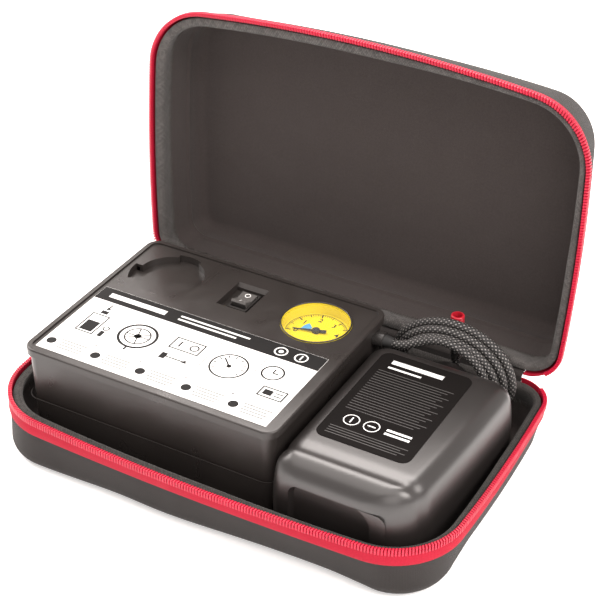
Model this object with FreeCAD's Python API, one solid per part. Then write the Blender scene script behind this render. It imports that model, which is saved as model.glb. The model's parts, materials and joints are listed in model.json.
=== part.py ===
import FreeCAD, Part
import math
import os

V = FreeCAD.Vector

# Tyre repair kit: a zip case that holds a 12 V compressor, a sealant bottle and a coiled hose.
# Millimetres, +Z up, +X right, +Y towards the hinge. The origin is the middle of the case's underside.

# Case
SHELL_T = 2.6
SEAM_Z = 40.0
ZIP_BAND = 10.0
CHAIN_H = 2.3
CHAIN_T = 2.4
CHAIN_GAP = 0.15
TAPE_T = 0.9
BASE_FLARE = 2.0
LID_FLARE = 3.0
BASE_TAPER = 4.0
BASE_TAPER_BACK = 2.6
LID_TAPER = 9.5
LID_TAPER_BACK = 3.6
LID_DEPTH = 54.6
LID_OPEN = 93.5
FRONT_CORNER_R = 44.0
BACK_CORNER_R = 23.0
FRONT_BOW_R = 1040.0
SIDE_BOW_R = 1170.0
BASE_EDGE_R = 13.0
LID_EDGE_R = 16.0
BINDING_T = 1.3
BINDING_H = 9.0
BINDING_FIT = 0.05
HINGE_FOLD = 1.4
ZIP_END = 12.0
LEFT_GAP = 21.05
RIGHT_GAP = 17.65
FRONT_GAP = 23.3
BACK_GAP = 24.7

# Compressor housing
UNIT_L = 177.0
UNIT_D = 146.0
FOOT_H = 2.4
FOOT_R = 6.0
FOOT_DRAFT = 0.6
HOUSING_H = 70.0
RIM_H = 1.25
RIM_W = 3.6
RIM_OVERHANG = 2.0
RIM_DROP = 4.0
TUB_H = 34.5
HOUSING_DRAFT = 1.4
HOUSING_WALL = 2.2
UNIT_CORNER_R = 9.0
SCREW_BOSS_R = 4.0
SCREW_R = 1.5
SCREW_HEAD_R = 2.8
SCREW_DEPTH = 12.0
SCREW_HEAD_H = 2.0
SCREW_SLOT_L = 3.2
SCREW_SLOT_W = 0.7
SCREW_SLOT_DEPTH = 1.0
BOSS_FROM_SIDE = 17.6
BOSS_FROM_FRONT = 9.6
RUN_FIT = 0.08
LEAD_GLAND_R = 4.5
LEAD_GLAND_OFFSET = 36.0
LEAD_GLAND_TAIL = 4.0
LEAD_GLAND_BORE_R = 2.2
LEAD_GLAND_FLANGE = 1.8
LEAD_GLAND_FLANGE_T = 1.5
LEAD_GLAND_STAND = 0.3

# Printed sheet on the panel
SHEET_L = 162.0
SHEET_D = 75.2
SHEET_T = 0.3
SHEET_FROM_LEFT = 6.3
SHEET_FROM_FRONT = 6.8

# Bottle seat in the panel, measured from the unit's back left corner
SEAT_R = 22.5
SEAT_DEPTH = 5.0
SEAT_FROM_LEFT = 34.3
SEAT_FROM_BACK = 32.3
SEAT_LOBE_LEFT = 5.0
SEAT_LOBE_BACK = 2.6
SEAT_LOBES = ((196.0, 38.0, SEAT_LOBE_LEFT), (88.0, 40.0, SEAT_LOBE_BACK))

# Switch
SWITCH_FROM_LEFT = 88.1
SWITCH_FROM_BACK = 29.4
POCKET_L = 22.3
POCKET_D = 21.0
POCKET_DEPTH = 5.0
POCKET_RAMP = 5.0
POCKET_BEVEL = 2.4
SWITCH_FRAME_L = 14.0
SWITCH_FRAME_D = 20.0
SWITCH_BODY_H = 14.0
SWITCH_LEDGE = 0.5
SWITCH_TOP = 1.2
TERMINAL_L = 6.0
TERMINAL_W = 4.8
TERMINAL_T = 0.8
TERMINAL_GAP = 10.0
ROCKER_L = 10.4
ROCKER_R = 8.0
ROCKER_RISE = 4.2
ROCKER_DIP = 2.0
ROCKER_TILT = 11.0
ROCKER_GAP = 0.35
ROCKER_REACH = 9.0
ROCKER_KEEL_H = 4.5
ROCKER_KEEL_D = 6.0
ROCKER_PIN_R = 1.0
ROCKER_WELL = 9.0

# Pressure gauge
GAUGE_FROM_RIGHT = 34.6
GAUGE_FROM_BACK = 32.6
GAUGE_R = 22.6
GAUGE_FIT = 0.2
GAUGE_H = 25.0
GAUGE_WALL = 1.1
LENS_T = 1.6
DIAL_SINK = 7.6
DIAL_T = 0.8
NEEDLE_L = 15.0
NEEDLE_TAIL = 6.5
NEEDLE_ZERO = 197.0
NEEDLE_TAIL_W = 3.0
NEEDLE_W = 1.8
NEEDLE_TIP_W = 0.5
NEEDLE_T = 0.6
NEEDLE_LIFT = 1.0
HUB_R = 2.4
HUB_LIFT = 0.4
HUB_H = 2.0
DIAL_LEDGE = 0.9
MOVEMENT_R = 9.0
MOVEMENT_FROM_FLOOR = 4.0
SPINDLE_SEAT = 2.0
SPINDLE_R = 0.8
BOURDON_R = 15.0
BOURDON_TUBE_R = 1.8
BOURDON_LINK_R = 1.2
BOURDON_ROOT = 12.0
BOURDON_SWEEP = 250.0
BOURDON_TURN = -60.0
STEM_R = 5.0

# Air pump
MODULE = 0.9
PINION_TEETH = 12
GEAR_TEETH = 48
GEAR_T = 7.0
MOTOR_R = 18.0
MOTOR_L = 52.0
MOTOR_WALL = 1.5
MAGNET_T = 3.0
MAGNET_FROM_END = 6.0
MAGNET_SPLIT = 10.0
ROTOR_FROM_MAGNET = 2.0
COMMUTATOR_R = 5.0
COMMUTATOR_FROM_END = 1.5
PINION_PAST_GEAR = 1.0
SHAFT_PAST_PINION = 0.6
ROTOR_R = 12.0
MOTOR_SHAFT_R = 1.5
MOTOR_FROM_LEFT = 14.0
MOTOR_FROM_FRONT = 37.3
PUMP_AXIS_H = 25.4
FRAME_T = 3.0
CRANK_SHAFT_R = 3.0
BUSH_R = 5.0
BUSH_COLLAR = 2.0
CRANK_SHAFT_PAST = 3.0
GEAR_RIM_W = 4.0
GEAR_WEB_CUT = 2.0
SHAFT_HOLE_GAP = 1.0
CRANK_THROW = 7.0
CRANK_PIN_R = 2.5
CRANK_PIN_L = 6.0
RUN_GAP = 0.4
ROD_T = 5.0
ROD_L = 40.0
ROD_EYE_R = 6.0
ROD_RECESS = 0.5
ROD_H = 7.0
BORE_R = 10.0
PISTON_GAP = 0.1
PISTON_T = 5.0
SEAL_T = 1.5
SEAL_LIP = 3.0
SEAL_WEB = 0.6
CYLINDER_WALL = 3.0
FIN_R = 16.5
FIN_T = 1.5
FIN_PITCH = 3.6
FIN_FROM_END = 14.0
HEAD_W = 30.0
HEAD_T = 10.0
HEAD_GAP = 3.5
HEAD_EDGE_R = 4.0
HEAD_SCREW_IN = 4.0
HEAD_ROOM_IN = 2.0
PORT_DEPTH = 5.0
PIPE_R = 3.0
PIPE_WALL = 1.2
TEE_W = 14.0
TEE_WALL = 3.0
RISER_FROM_WALL = 7.2
PIPE_BEND_R = 5.0
FRAME_FOOT_L = 12.0
FRAME_PAST_MOTOR = 2.0
FRAME_PAST_BORE = 12.0
FRAME_ABOVE = 4.0
SADDLE_L = 8.0
SADDLE_H = 20.0
FRAME_SCREW_IN = 6.0
FRAME_SCREW_HEAD_H = 1.8
TAB_L = 5.0
TAB_T = 0.8
TAB_OFFSET = 9.0
WIRE_R = 0.8
WIRE_BEND_R = 4.0
WIRE_PAIR_GAP = 0.4
WIRE_PAST_MOTOR = 36.0
PRESSURE_ANGLE = math.radians(20)
BACKLASH = 0.16
FLANK_STEPS = 3
ADDENDUM = 0.72
DEDENDUM = 1.05

# Sealant bottle, lying on its side with its neck to the hinge
BOTTLE_W = 91.0
BOTTLE_L = 140.0
BOTTLE_H = 65.4
BOTTLE_WALL = 1.8
FILL_DEPTH = 50.0
BOTTLE_EDGE_R = 12.0
BOTTLE_BOW_R = 130.0
BOTTLE_SPREAD = 7.5
ROLL_STEPS = 5
FOOT_END_L = 17.0
FOOT_SIDE_L = 26.0
FOOT_SIDE_POWER = 1.6
FOOT_END_SIDE = 13.0
FOOT_END_DROP = 17.0
SHOULDER_L = 16.0
SHOULDER_SIDE = 11.0
SHOULDER_DROP = 10.0
SHOULDER_POWER = 2.0
BOTTLE_TUCK = 0.6
BOTTLE_FROM_FRONT = 15.0
BOTTLE_FROM_BACK = 39.0
GROOVE_FROM_FOOT = 18.0
GROOVE_W = 3.0
GROOVE_DEPTH = 0.8
FOOT_PANEL_L = 60.0
FOOT_PANEL_H = 26.0
FOOT_PANEL_DEPTH = 3.0
FOOT_PANEL_R = 6.0
NECK_R = 13.0
NECK_L = 11.0
CAP_R = 17.0
CAP_L = 13.0
CAP_T = 2.0
CAP_LUG_W = 8.0
CAP_LUG_L = 4.0
CAP_FIT = 0.5
CAP_LUG_ROOT = 1.0
GASKET_T = 1.2
LABEL_L = 92.5
LABEL_W = 60.3
LABEL_T = 0.25
LABEL_R = 6.0
LABEL_FROM_FRONT = 31.8
LABEL_OFFSET = -2.2

# Air hose
HOSE_R = 2.6
HOSE_WALL = 1.0
HOSE_TURNS = 3
COIL_R = 28.6
COIL_GROWTH = 3.8
COIL_PITCH = 4.3
COIL_CENTRE_Z = 46.0
COIL_OFFSET_X = -1.0
COIL_BEHIND_BOTTLE = 0.3
OUTLET_Z = 64.5
OUTLET_FROM_BACK = 15.3
NUT_R = 5.0
NUT_L = 7.0
BOOT_L = 6.0
BOOT_STEP = 1.0
BOOT_LIP = 0.6
COIL_START = -30.0
COIL_STEP = 75.0
TAIL_R = 20.8
TAIL_START = 90.0
TAIL_LEAN = 0.0
TAIL_BACK = 7.2
TAIL_SLOPE = 0.12
TAIL_EASE = 0.7
FERRULE_R = 3.5
FERRULE_L = 8.0
CHUCK_R = 4.3
CHUCK_L = 24.0
CHUCK_BORE_R = 3.2
CHUCK_BORE_L = 7.0
CHUCK_EDGE_R = 0.8
CHUCK_WAIST_FROM = 7.68
CHUCK_WAIST_L = 5.28
CHUCK_WAIST_DEPTH = 0.7
CHUCK_SEAL_T = 2.0
CHUCK_GROOVE = 0.4

# Zip slider, parked on the left side
SLIDER_L = 10.0
SLIDER_T = 3.0
SLIDER_H = 6.5
SLIDER_EDGE_R = 1.0
SLIDER_Y = 62.0
PULL_L = 26.0
PULL_STRAP_L = 13.0
PULL_TAB_L = 17.3
PULL_W = 8.0
PULL_T = 2.0
PULL_PIN_R = 1.0

# Places that follow from the sizes above
CASE_L = LEFT_GAP + UNIT_L - BOTTLE_TUCK + BOTTLE_W + RIGHT_GAP
CASE_D = max(FRONT_GAP + UNIT_D + BACK_GAP, BOTTLE_FROM_FRONT + BOTTLE_L + BOTTLE_FROM_BACK)
HALF_L = CASE_L / 2
HALF_D = CASE_D / 2
FLOOR_Z = SHELL_T
RIM_Z = SEAM_Z - ZIP_BAND
UNIT_X0 = -HALF_L + LEFT_GAP
UNIT_X1 = UNIT_X0 + UNIT_L
UNIT_Y1 = HALF_D - BACK_GAP
UNIT_Y0 = UNIT_Y1 - UNIT_D
UNIT_Z0 = FLOOR_Z + FOOT_H
PANEL_Z = UNIT_Z0 + HOUSING_H
SPLIT_Z = UNIT_Z0 + TUB_H
PANEL_UNDER = PANEL_Z - HOUSING_WALL
SEAT_X = UNIT_X0 + SEAT_FROM_LEFT
SEAT_Y = UNIT_Y1 - SEAT_FROM_BACK
SWITCH_X = UNIT_X0 + SWITCH_FROM_LEFT
SWITCH_Y = UNIT_Y1 - SWITCH_FROM_BACK
SWITCH_Z = PANEL_Z - POCKET_DEPTH
GAUGE_X = UNIT_X1 - GAUGE_FROM_RIGHT
GAUGE_Y = UNIT_Y1 - GAUGE_FROM_BACK
BOTTLE_X = UNIT_X1 - BOTTLE_TUCK + BOTTLE_W / 2
BOTTLE_Y1 = HALF_D - BOTTLE_FROM_BACK
BOTTLE_Y0 = BOTTLE_Y1 - BOTTLE_L
BOTTLE_Z = FLOOR_Z + BOTTLE_H / 2
MOTOR_X0 = UNIT_X0 + MOTOR_FROM_LEFT
MOTOR_X1 = MOTOR_X0 + MOTOR_L
MOTOR_Y = UNIT_Y0 + MOTOR_FROM_FRONT
PUMP_Z = UNIT_Z0 + PUMP_AXIS_H
GEAR_Y = MOTOR_Y + MODULE * (PINION_TEETH + GEAR_TEETH) / 2
GEAR_X0 = MOTOR_X1 + FRAME_T + FRAME_T
GEAR_X1 = GEAR_X0 + GEAR_T
ROD_X0 = GEAR_X1 + CRANK_PIN_L + RUN_GAP
ROD_X = ROD_X0 + ROD_T / 2
ROD_Y0 = GEAR_Y + CRANK_THROW
PISTON_Y0 = ROD_Y0 + ROD_L
STROKE = 2 * CRANK_THROW
BORE_Y0 = PISTON_Y0 - STROKE - 2 * RUN_GAP
BORE_Y1 = PISTON_Y0 + PISTON_T + SEAL_T + HEAD_GAP
TAPER_STEP = HOUSING_DRAFT / HOUSING_H
LEAD_GLAND_X = SWITCH_X - LEAD_GLAND_OFFSET
LEAD_GLAND_Z = UNIT_Z0 + TUB_H / 2
BODY_L = SWITCH_FRAME_L - 2 * SWITCH_LEDGE
BODY_D = SWITCH_FRAME_D - 2 * SWITCH_LEDGE
OUTLET_Y = UNIT_Y1 - OUTLET_FROM_BACK
GAUGE_STEM_Z = PUMP_Z + TEE_W / 2
NUT_X = UNIT_X1 - RIM_OVERHANG - (PANEL_Z - OUTLET_Z - NUT_R) * TAPER_STEP


def save(name, shape):
    shape = shape.removeSplitter() if len(shape.Solids) == 1 else shape
    shape.exportStep("parts/" + name + ".step")
    print("%-18s solids %d valid %s volume %.0f" % (name, len(shape.Solids), shape.isValid(), shape.Volume))


def block(x0, x1, y0, y1, z0, z1):
    return Part.makeBox(x1 - x0, y1 - y0, z1 - z0, V(x0, y0, z0))


def rod(radius, start, direction, length):
    return Part.makeCylinder(radius, length, start, direction)


def ring(outer, inner, start, direction, length):
    return rod(outer, start, direction, length).cut(rod(inner, start, direction, length))


def rounded_wire(x0, x1, y0, y1, radius, z):
    corners = ((x1 - radius, y0 + radius, -90), (x1 - radius, y1 - radius, 0),
               (x0 + radius, y1 - radius, 90), (x0 + radius, y0 + radius, 180))
    edges = []
    last = None
    for cx, cy, start in corners:
        arc = Part.ArcOfCircle(Part.Circle(V(cx, cy, z), V(0, 0, 1), radius),
                               math.radians(start), math.radians(start + 90))
        if last is not None:
            edges.append(Part.LineSegment(last, arc.StartPoint).toShape())
        edges.append(arc.toShape())
        last = arc.EndPoint
    edges.append(Part.LineSegment(last, edges[0].Vertexes[0].Point).toShape())
    return Part.Wire(edges)


def rounded_prism(x0, x1, y0, y1, radius, z0, z1):
    return Part.Face(rounded_wire(x0, x1, y0, y1, radius, z0)).extrude(V(0, 0, z1 - z0))


def edges_at(shape, z):
    return [e for e in shape.Edges if all(abs(v.Z - z) < 1e-4 for v in e.Vertexes)]


# The case's outline: bowed front and sides, a straight hinge edge, round corners.
def corner_centre(side_cx, side_r, y_line, bow_cy, bow_r, corner_r):
    if bow_r is None:
        cy = y_line
        cx = side_cx + math.sqrt((side_r - corner_r) ** 2 - cy ** 2)
        return cx, cy
    r1 = side_r - corner_r
    r2 = bow_r - corner_r
    dx, dy = -side_cx, bow_cy
    gap = math.hypot(dx, dy)
    along = (r1 ** 2 - r2 ** 2 + gap ** 2) / (2 * gap)
    off = math.sqrt(r1 ** 2 - along ** 2)
    ux, uy = dx / gap, dy / gap
    return side_cx + ux * along + uy * off, uy * along - ux * off


def outline(side, front, back, z):
    half_l = HALF_L - side
    front_y = -HALF_D + front
    back_y = HALF_D - back
    side_r = SIDE_BOW_R - side
    front_r = FRONT_BOW_R - front
    side_cx = half_l - side_r
    front_cy = front_y + front_r
    rf = FRONT_CORNER_R - (side + front) / 2
    rb = BACK_CORNER_R - (side + back) / 2
    fx, fy = corner_centre(side_cx, side_r, None, front_cy, front_r, rf)
    bx, by = corner_centre(side_cx, side_r, back_y - rb, None, None, rb)

    def arc(cx, cy, radius, start, end):
        return Part.ArcOfCircle(Part.Circle(V(cx, cy, z), V(0, 0, 1), radius), start, end).toShape()

    front_a = math.atan2(fy - front_cy, fx)
    low_a = math.atan2(fy, fx - side_cx)
    high_a = math.atan2(by, bx - side_cx)
    pi = math.pi
    edges = [
        arc(0, front_cy, front_r, -pi - front_a, front_a),
        arc(fx, fy, rf, front_a, low_a),
        arc(side_cx, 0, side_r, low_a, high_a),
        arc(bx, by, rb, high_a, pi / 2),
        Part.LineSegment(V(bx, back_y, z), V(-bx, back_y, z)).toShape(),
        arc(-bx, by, rb, pi / 2, pi - high_a),
        arc(-side_cx, 0, side_r, pi - high_a, pi - low_a),
        arc(-fx, fy, rf, pi - low_a, pi - front_a),
    ]
    return Part.Wire(edges)


def hinge_half_length():
    wire = outline(0, 0, 0, 0)
    straight = [e for e in wire.Edges if e.Curve.TypeId == "Part::GeomLine"]
    return straight[0].Length / 2


def taper(insets0, z0, insets1, z1):
    return Part.makeLoft([outline(*insets0, z0), outline(*insets1, z1)], True, True)


def even(inset):
    return (inset, inset, inset)


def grown(insets, by):
    return tuple(i + by for i in insets)


def at_height(insets0, z0, insets1, z1, z):
    share = (z - z0) / (z1 - z0)
    return tuple(a + (b - a) * share for a, b in zip(insets0, insets1))


def shell(rim, rim_z, floor, floor_z, edge_r):
    inward = SHELL_T if floor_z < rim_z else -SHELL_T
    outer = taper(floor, floor_z, rim, rim_z) if floor_z < rim_z else taper(rim, rim_z, floor, floor_z)
    outer = outer.makeFillet(edge_r, edges_at(outer, floor_z))
    in_rim, in_floor = grown(rim, SHELL_T), grown(floor, SHELL_T)
    top = floor_z + inward
    inner = taper(in_floor, top, in_rim, rim_z) if floor_z < rim_z else taper(in_rim, rim_z, in_floor, top)
    inner = inner.makeFillet(edge_r - SHELL_T, edges_at(inner, top))
    return outer.cut(inner)


def without_hinge_edge(solid, extra):
    reach = hinge_half_length() + extra
    return solid.cut(block(-reach, reach, 0, 2 * HALF_D, -SEAM_Z, 4 * SEAM_Z))


def zip_half(flare, up):
    edge = SEAM_Z + up * CHAIN_GAP
    chain_z = edge + up * CHAIN_H
    rim_z = SEAM_Z + up * ZIP_BAND
    low, high = min(edge, chain_z), max(edge, chain_z)
    mid = (CHAIN_T - TAPE_T) / 2
    chain = taper(even(-mid), low, even(-mid), high)
    chain = chain.cut(taper(even(CHAIN_T - mid), low, even(CHAIN_T - mid), high))
    ends = (even(flare), rim_z, even(0.0), chain_z)
    ends = ends if rim_z < chain_z else (ends[2], ends[3], ends[0], ends[1])
    tape = taper(*ends).cut(taper(grown(ends[0], TAPE_T), ends[1], grown(ends[2], TAPE_T), ends[3]))
    return without_hinge_edge(chain, ZIP_END), without_hinge_edge(tape, 0)


def binding(rim, rim_z, floor, floor_z, up):
    low_z = rim_z + up * BINDING_H
    inner_rim = grown(rim, SHELL_T + BINDING_FIT)
    inner_floor = grown(floor, SHELL_T + BINDING_FIT)
    inner_low = at_height(inner_rim, rim_z, inner_floor, floor_z - up * SHELL_T, low_z)
    pair = ((inner_low, low_z), (inner_rim, rim_z))
    pair = pair if low_z < rim_z else pair[::-1]
    inside = [(grown(insets, BINDING_T), z) for insets, z in pair]
    strip = taper(*pair[0], *pair[1]).cut(taper(*inside[0], *inside[1]))
    lip_z = rim_z - up * BINDING_T
    z0, z1 = min(rim_z, lip_z), max(rim_z, lip_z)
    tape_in = grown(rim, TAPE_T + CHAIN_GAP)
    lip = taper(tape_in, z0, tape_in, z1)
    lip = lip.cut(taper(grown(inner_rim, BINDING_T), z0, grown(inner_rim, BINDING_T), z1))
    return strip.fuse(lip)


def opened(shape):
    turned = shape.copy()
    turned.rotate(V(0, HALF_D, SEAM_Z), V(1, 0, 0), -LID_OPEN)
    return turned


def fabric_hinge():
    reach = hinge_half_length() - CHAIN_GAP
    base = [V(0, HALF_D - BASE_FLARE, RIM_Z), V(0, HALF_D - CHAIN_GAP, SEAM_Z - HINGE_FOLD)]
    lid = [V(0, HALF_D - CHAIN_GAP, SEAM_Z + HINGE_FOLD), V(0, HALF_D - LID_FLARE, SEAM_Z + ZIP_BAND)]
    inward = V(0, -TAPE_T, 0)
    turn = FreeCAD.Placement(V(0, 0, 0), FreeCAD.Rotation(V(1, 0, 0), -LID_OPEN), V(0, HALF_D, SEAM_Z))
    outer = base + [turn.multVec(p) for p in lid]
    inner = [p + inward for p in base] + [turn.multVec(p + inward) for p in lid]
    points = outer + inner[::-1]
    face = Part.Face(Part.makePolygon(points + points[:1]))
    strip = face.extrude(V(2 * reach, 0, 0))
    strip.translate(V(-reach, 0, 0))
    return strip


def case():
    base_rim, base_floor = even(BASE_FLARE), (BASE_FLARE + BASE_TAPER, BASE_FLARE + BASE_TAPER,
                                              BASE_FLARE + BASE_TAPER_BACK)
    lid_rim, lid_floor = even(LID_FLARE), (LID_FLARE + LID_TAPER, LID_FLARE + LID_TAPER,
                                           LID_FLARE + LID_TAPER_BACK)
    lid_rim_z, lid_top = SEAM_Z + ZIP_BAND, SEAM_Z + LID_DEPTH
    save("case_base_shell", shell(base_rim, RIM_Z, base_floor, 0, BASE_EDGE_R))
    save("case_lid_shell", opened(shell(lid_rim, lid_rim_z, lid_floor, lid_top, LID_EDGE_R)))
    save("base_edge_binding", binding(base_rim, RIM_Z, base_floor, 0, -1))
    save("lid_edge_binding", opened(binding(lid_rim, lid_rim_z, lid_floor, lid_top, 1)))
    chain, tape = zip_half(BASE_FLARE, -1)
    save("base_zip_chain", chain)
    save("base_zip_tape", tape)
    chain, tape = zip_half(LID_FLARE, 1)
    save("lid_zip_chain", opened(chain))
    save("lid_zip_tape", opened(tape))
    save("fabric_hinge", fabric_hinge())


def side_x(y, inset):
    radius = SIDE_BOW_R - inset
    return HALF_L - SIDE_BOW_R + math.sqrt(radius ** 2 - y ** 2)


def zip_slider():
    outside = -side_x(SLIDER_Y - SLIDER_L / 2, -(CHAIN_T - TAPE_T) / 2)
    top = SEAM_Z - 2 * CHAIN_GAP
    back = outside - CHAIN_GAP
    front = back - SLIDER_T
    body = block(front, back, SLIDER_Y - SLIDER_L / 2, SLIDER_Y + SLIDER_L / 2, top - SLIDER_H, top)
    body = body.makeFillet(SLIDER_EDGE_R, [e for e in body.Edges if abs(e.CenterOfMass.x - front) < 1e-4])
    pin_x = front - PULL_T
    pin_z = top - SLIDER_H / 2
    bail_w = SLIDER_L / 2 - PULL_PIN_R
    for side in (-1, 1):
        ear_y = SLIDER_Y + side * (bail_w + PULL_PIN_R / 2)
        ear = block(pin_x - PULL_PIN_R, back - SLIDER_T / 2, ear_y - PULL_PIN_R / 2, ear_y + PULL_PIN_R / 2,
                    pin_z - 2 * PULL_PIN_R, pin_z + 2 * PULL_PIN_R)
        body = body.fuse(ear)
    body = body.fuse(rod(PULL_PIN_R, V(pin_x, SLIDER_Y - bail_w - PULL_PIN_R, pin_z), V(0, 1, 0),
                         2 * (bail_w + PULL_PIN_R)))
    save("zip_slider", body)
    eye_w = 2 * bail_w - 2 * RUN_GAP
    eye = rod(PULL_T, V(pin_x, SLIDER_Y - eye_w / 2, pin_z), V(0, 1, 0), eye_w)
    strap = block(pin_x - PULL_T, pin_x, SLIDER_Y - eye_w / 2, SLIDER_Y + eye_w / 2,
                  pin_z - PULL_STRAP_L, pin_z)
    low_z = pin_z - PULL_L
    half_w = PULL_W / 2
    tab = block(pin_x - PULL_T, pin_x, SLIDER_Y - half_w, SLIDER_Y + half_w, low_z, low_z + PULL_TAB_L)
    ends = [e for e in edges_at(tab, low_z) if abs(abs(e.CenterOfMass.y - SLIDER_Y) - half_w) < 1e-4]
    tab = tab.makeFillet(half_w - CHAIN_GAP, ends)
    pull = eye.fuse(strap).fuse(tab)
    hole = rod(PULL_PIN_R + RUN_FIT, V(pin_x, SLIDER_Y - SLIDER_L, pin_z), V(0, 1, 0), 2 * SLIDER_L)
    save("zip_pull", pull.cut(hole))


# Compressor housing
def housing_wire(inset, z):
    return rounded_wire(UNIT_X0 + inset, UNIT_X1 - inset, UNIT_Y0 + inset, UNIT_Y1 - inset,
                        UNIT_CORNER_R - inset, z)


def housing_inset(z):
    return RIM_OVERHANG + (PANEL_Z - z) * TAPER_STEP


def housing_body(z0, z1, extra):
    wires = [housing_wire(housing_inset(z) + extra, z) for z in (z0, z1)]
    return Part.makeLoft(wires, True, True)


def screw_places():
    columns = (UNIT_X0 + BOSS_FROM_SIDE, UNIT_X1 - BOSS_FROM_SIDE)
    rows = (UNIT_Y0 + BOSS_FROM_FRONT, UNIT_Y1 - BOSS_FROM_FRONT)
    return [(x, y) for x in columns for y in rows]


def housing_tub():
    tub = housing_body(UNIT_Z0, SPLIT_Z, 0)
    tub = tub.makeFillet(HOUSING_WALL, edges_at(tub, UNIT_Z0))
    tub = tub.cut(housing_body(UNIT_Z0 + HOUSING_WALL, SPLIT_Z, HOUSING_WALL))
    for x, y in screw_places():
        tub = tub.fuse(rod(SCREW_BOSS_R, V(x, y, UNIT_Z0), V(0, 0, 1), TUB_H))
    for x, y in screw_places():
        tub = tub.cut(rod(SCREW_R, V(x, y, UNIT_Z0), V(0, 0, 1), TUB_H))
        tub = tub.cut(rod(SCREW_HEAD_R, V(x, y, UNIT_Z0), V(0, 0, 1), 2 * HOUSING_WALL))
    gland_y = UNIT_Y1 - housing_inset(SPLIT_Z) - 2 * HOUSING_WALL
    tub = tub.cut(rod(LEAD_GLAND_R, V(LEAD_GLAND_X, gland_y, LEAD_GLAND_Z), V(0, 1, 0), 4 * HOUSING_WALL))
    save("housing_tub", tub)


def seat_solid(extra, z0, z1):
    shape = rod(SEAT_R + extra, V(SEAT_X, SEAT_Y, z0), V(0, 0, 1), z1 - z0)
    for middle, width, reach in SEAT_LOBES:
        lobe = Part.makeCylinder(SEAT_R + reach + extra, z1 - z0, V(0, 0, 0), V(0, 0, 1), width)
        lobe.rotate(V(0, 0, 0), V(0, 0, 1), middle - width / 2)
        lobe.translate(V(SEAT_X, SEAT_Y, z0))
        shape = shape.fuse(lobe)
    return shape


def pocket_solid():
    front = SWITCH_Y - POCKET_D / 2
    back = SWITCH_Y + POCKET_D / 2
    points = [V(0, front - POCKET_RAMP, PANEL_Z), V(0, front, SWITCH_Z), V(0, back, SWITCH_Z),
              V(0, back, PANEL_Z - POCKET_BEVEL), V(0, back + POCKET_BEVEL, PANEL_Z)]
    high = [V(0, back + POCKET_BEVEL, PANEL_Z + RIM_H), V(0, front - POCKET_RAMP, PANEL_Z + RIM_H)]
    face = Part.Face(Part.makePolygon(points + high + points[:1]))
    pocket = face.extrude(V(POCKET_L, 0, 0))
    pocket.translate(V(SWITCH_X - POCKET_L / 2, 0, 0))
    return pocket


def top_cover():
    lip_z = PANEL_Z - RIM_DROP
    plate = Part.Face(housing_wire(0, lip_z)).extrude(V(0, 0, RIM_DROP + RIM_H))
    plate = plate.makeFillet(RIM_H, edges_at(plate, PANEL_Z + RIM_H))
    tray = Part.Face(housing_wire(RIM_W, PANEL_Z)).extrude(V(0, 0, 2 * RIM_H))
    cover = housing_body(SPLIT_Z, lip_z, 0).fuse(plate).cut(tray)
    room = Part.makeLoft([housing_wire(housing_inset(SPLIT_Z) + HOUSING_WALL, SPLIT_Z),
                          housing_wire(housing_inset(PANEL_UNDER) + HOUSING_WALL, PANEL_UNDER)], True, True)
    cover = cover.cut(room)
    seat_floor = PANEL_Z - SEAT_DEPTH
    cover = cover.fuse(seat_solid(HOUSING_WALL, seat_floor - HOUSING_WALL, PANEL_UNDER))
    cover = cover.cut(seat_solid(0, seat_floor, PANEL_Z + RIM_H))
    half_l = POCKET_L / 2 + HOUSING_WALL
    y0 = SWITCH_Y - POCKET_D / 2 - POCKET_RAMP
    y1 = SWITCH_Y + POCKET_D / 2 + POCKET_BEVEL + HOUSING_WALL
    pocket_wall = block(SWITCH_X - half_l, SWITCH_X + half_l, y0, y1, SWITCH_Z - HOUSING_WALL, PANEL_UNDER)
    cover = cover.fuse(pocket_wall)
    cover = cover.cut(pocket_solid())
    cover = cover.cut(block(SWITCH_X - BODY_L / 2 - GAUGE_FIT, SWITCH_X + BODY_L / 2 + GAUGE_FIT,
                            SWITCH_Y - BODY_D / 2 - GAUGE_FIT, SWITCH_Y + BODY_D / 2 + GAUGE_FIT,
                            SWITCH_Z - 2 * HOUSING_WALL, PANEL_Z))
    hole_h = HOUSING_WALL + 2 * RIM_H
    cover = cover.cut(rod(GAUGE_R + GAUGE_FIT, V(GAUGE_X, GAUGE_Y, PANEL_UNDER - RIM_H), V(0, 0, 1), hole_h))
    wall_x = UNIT_X1 - housing_inset(OUTLET_Z) - 2 * HOUSING_WALL
    cover = cover.cut(rod(PIPE_R + GAUGE_FIT, V(wall_x, OUTLET_Y, OUTLET_Z), V(1, 0, 0), 4 * HOUSING_WALL))
    for x, y in screw_places():
        post = rod(SCREW_BOSS_R, V(x, y, SPLIT_Z), V(0, 0, 1), PANEL_UNDER - SPLIT_Z)
        cover = cover.fuse(post.cut(rod(SCREW_R, V(x, y, SPLIT_Z), V(0, 0, 1), SCREW_DEPTH)))
    save("top_cover", cover)


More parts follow.
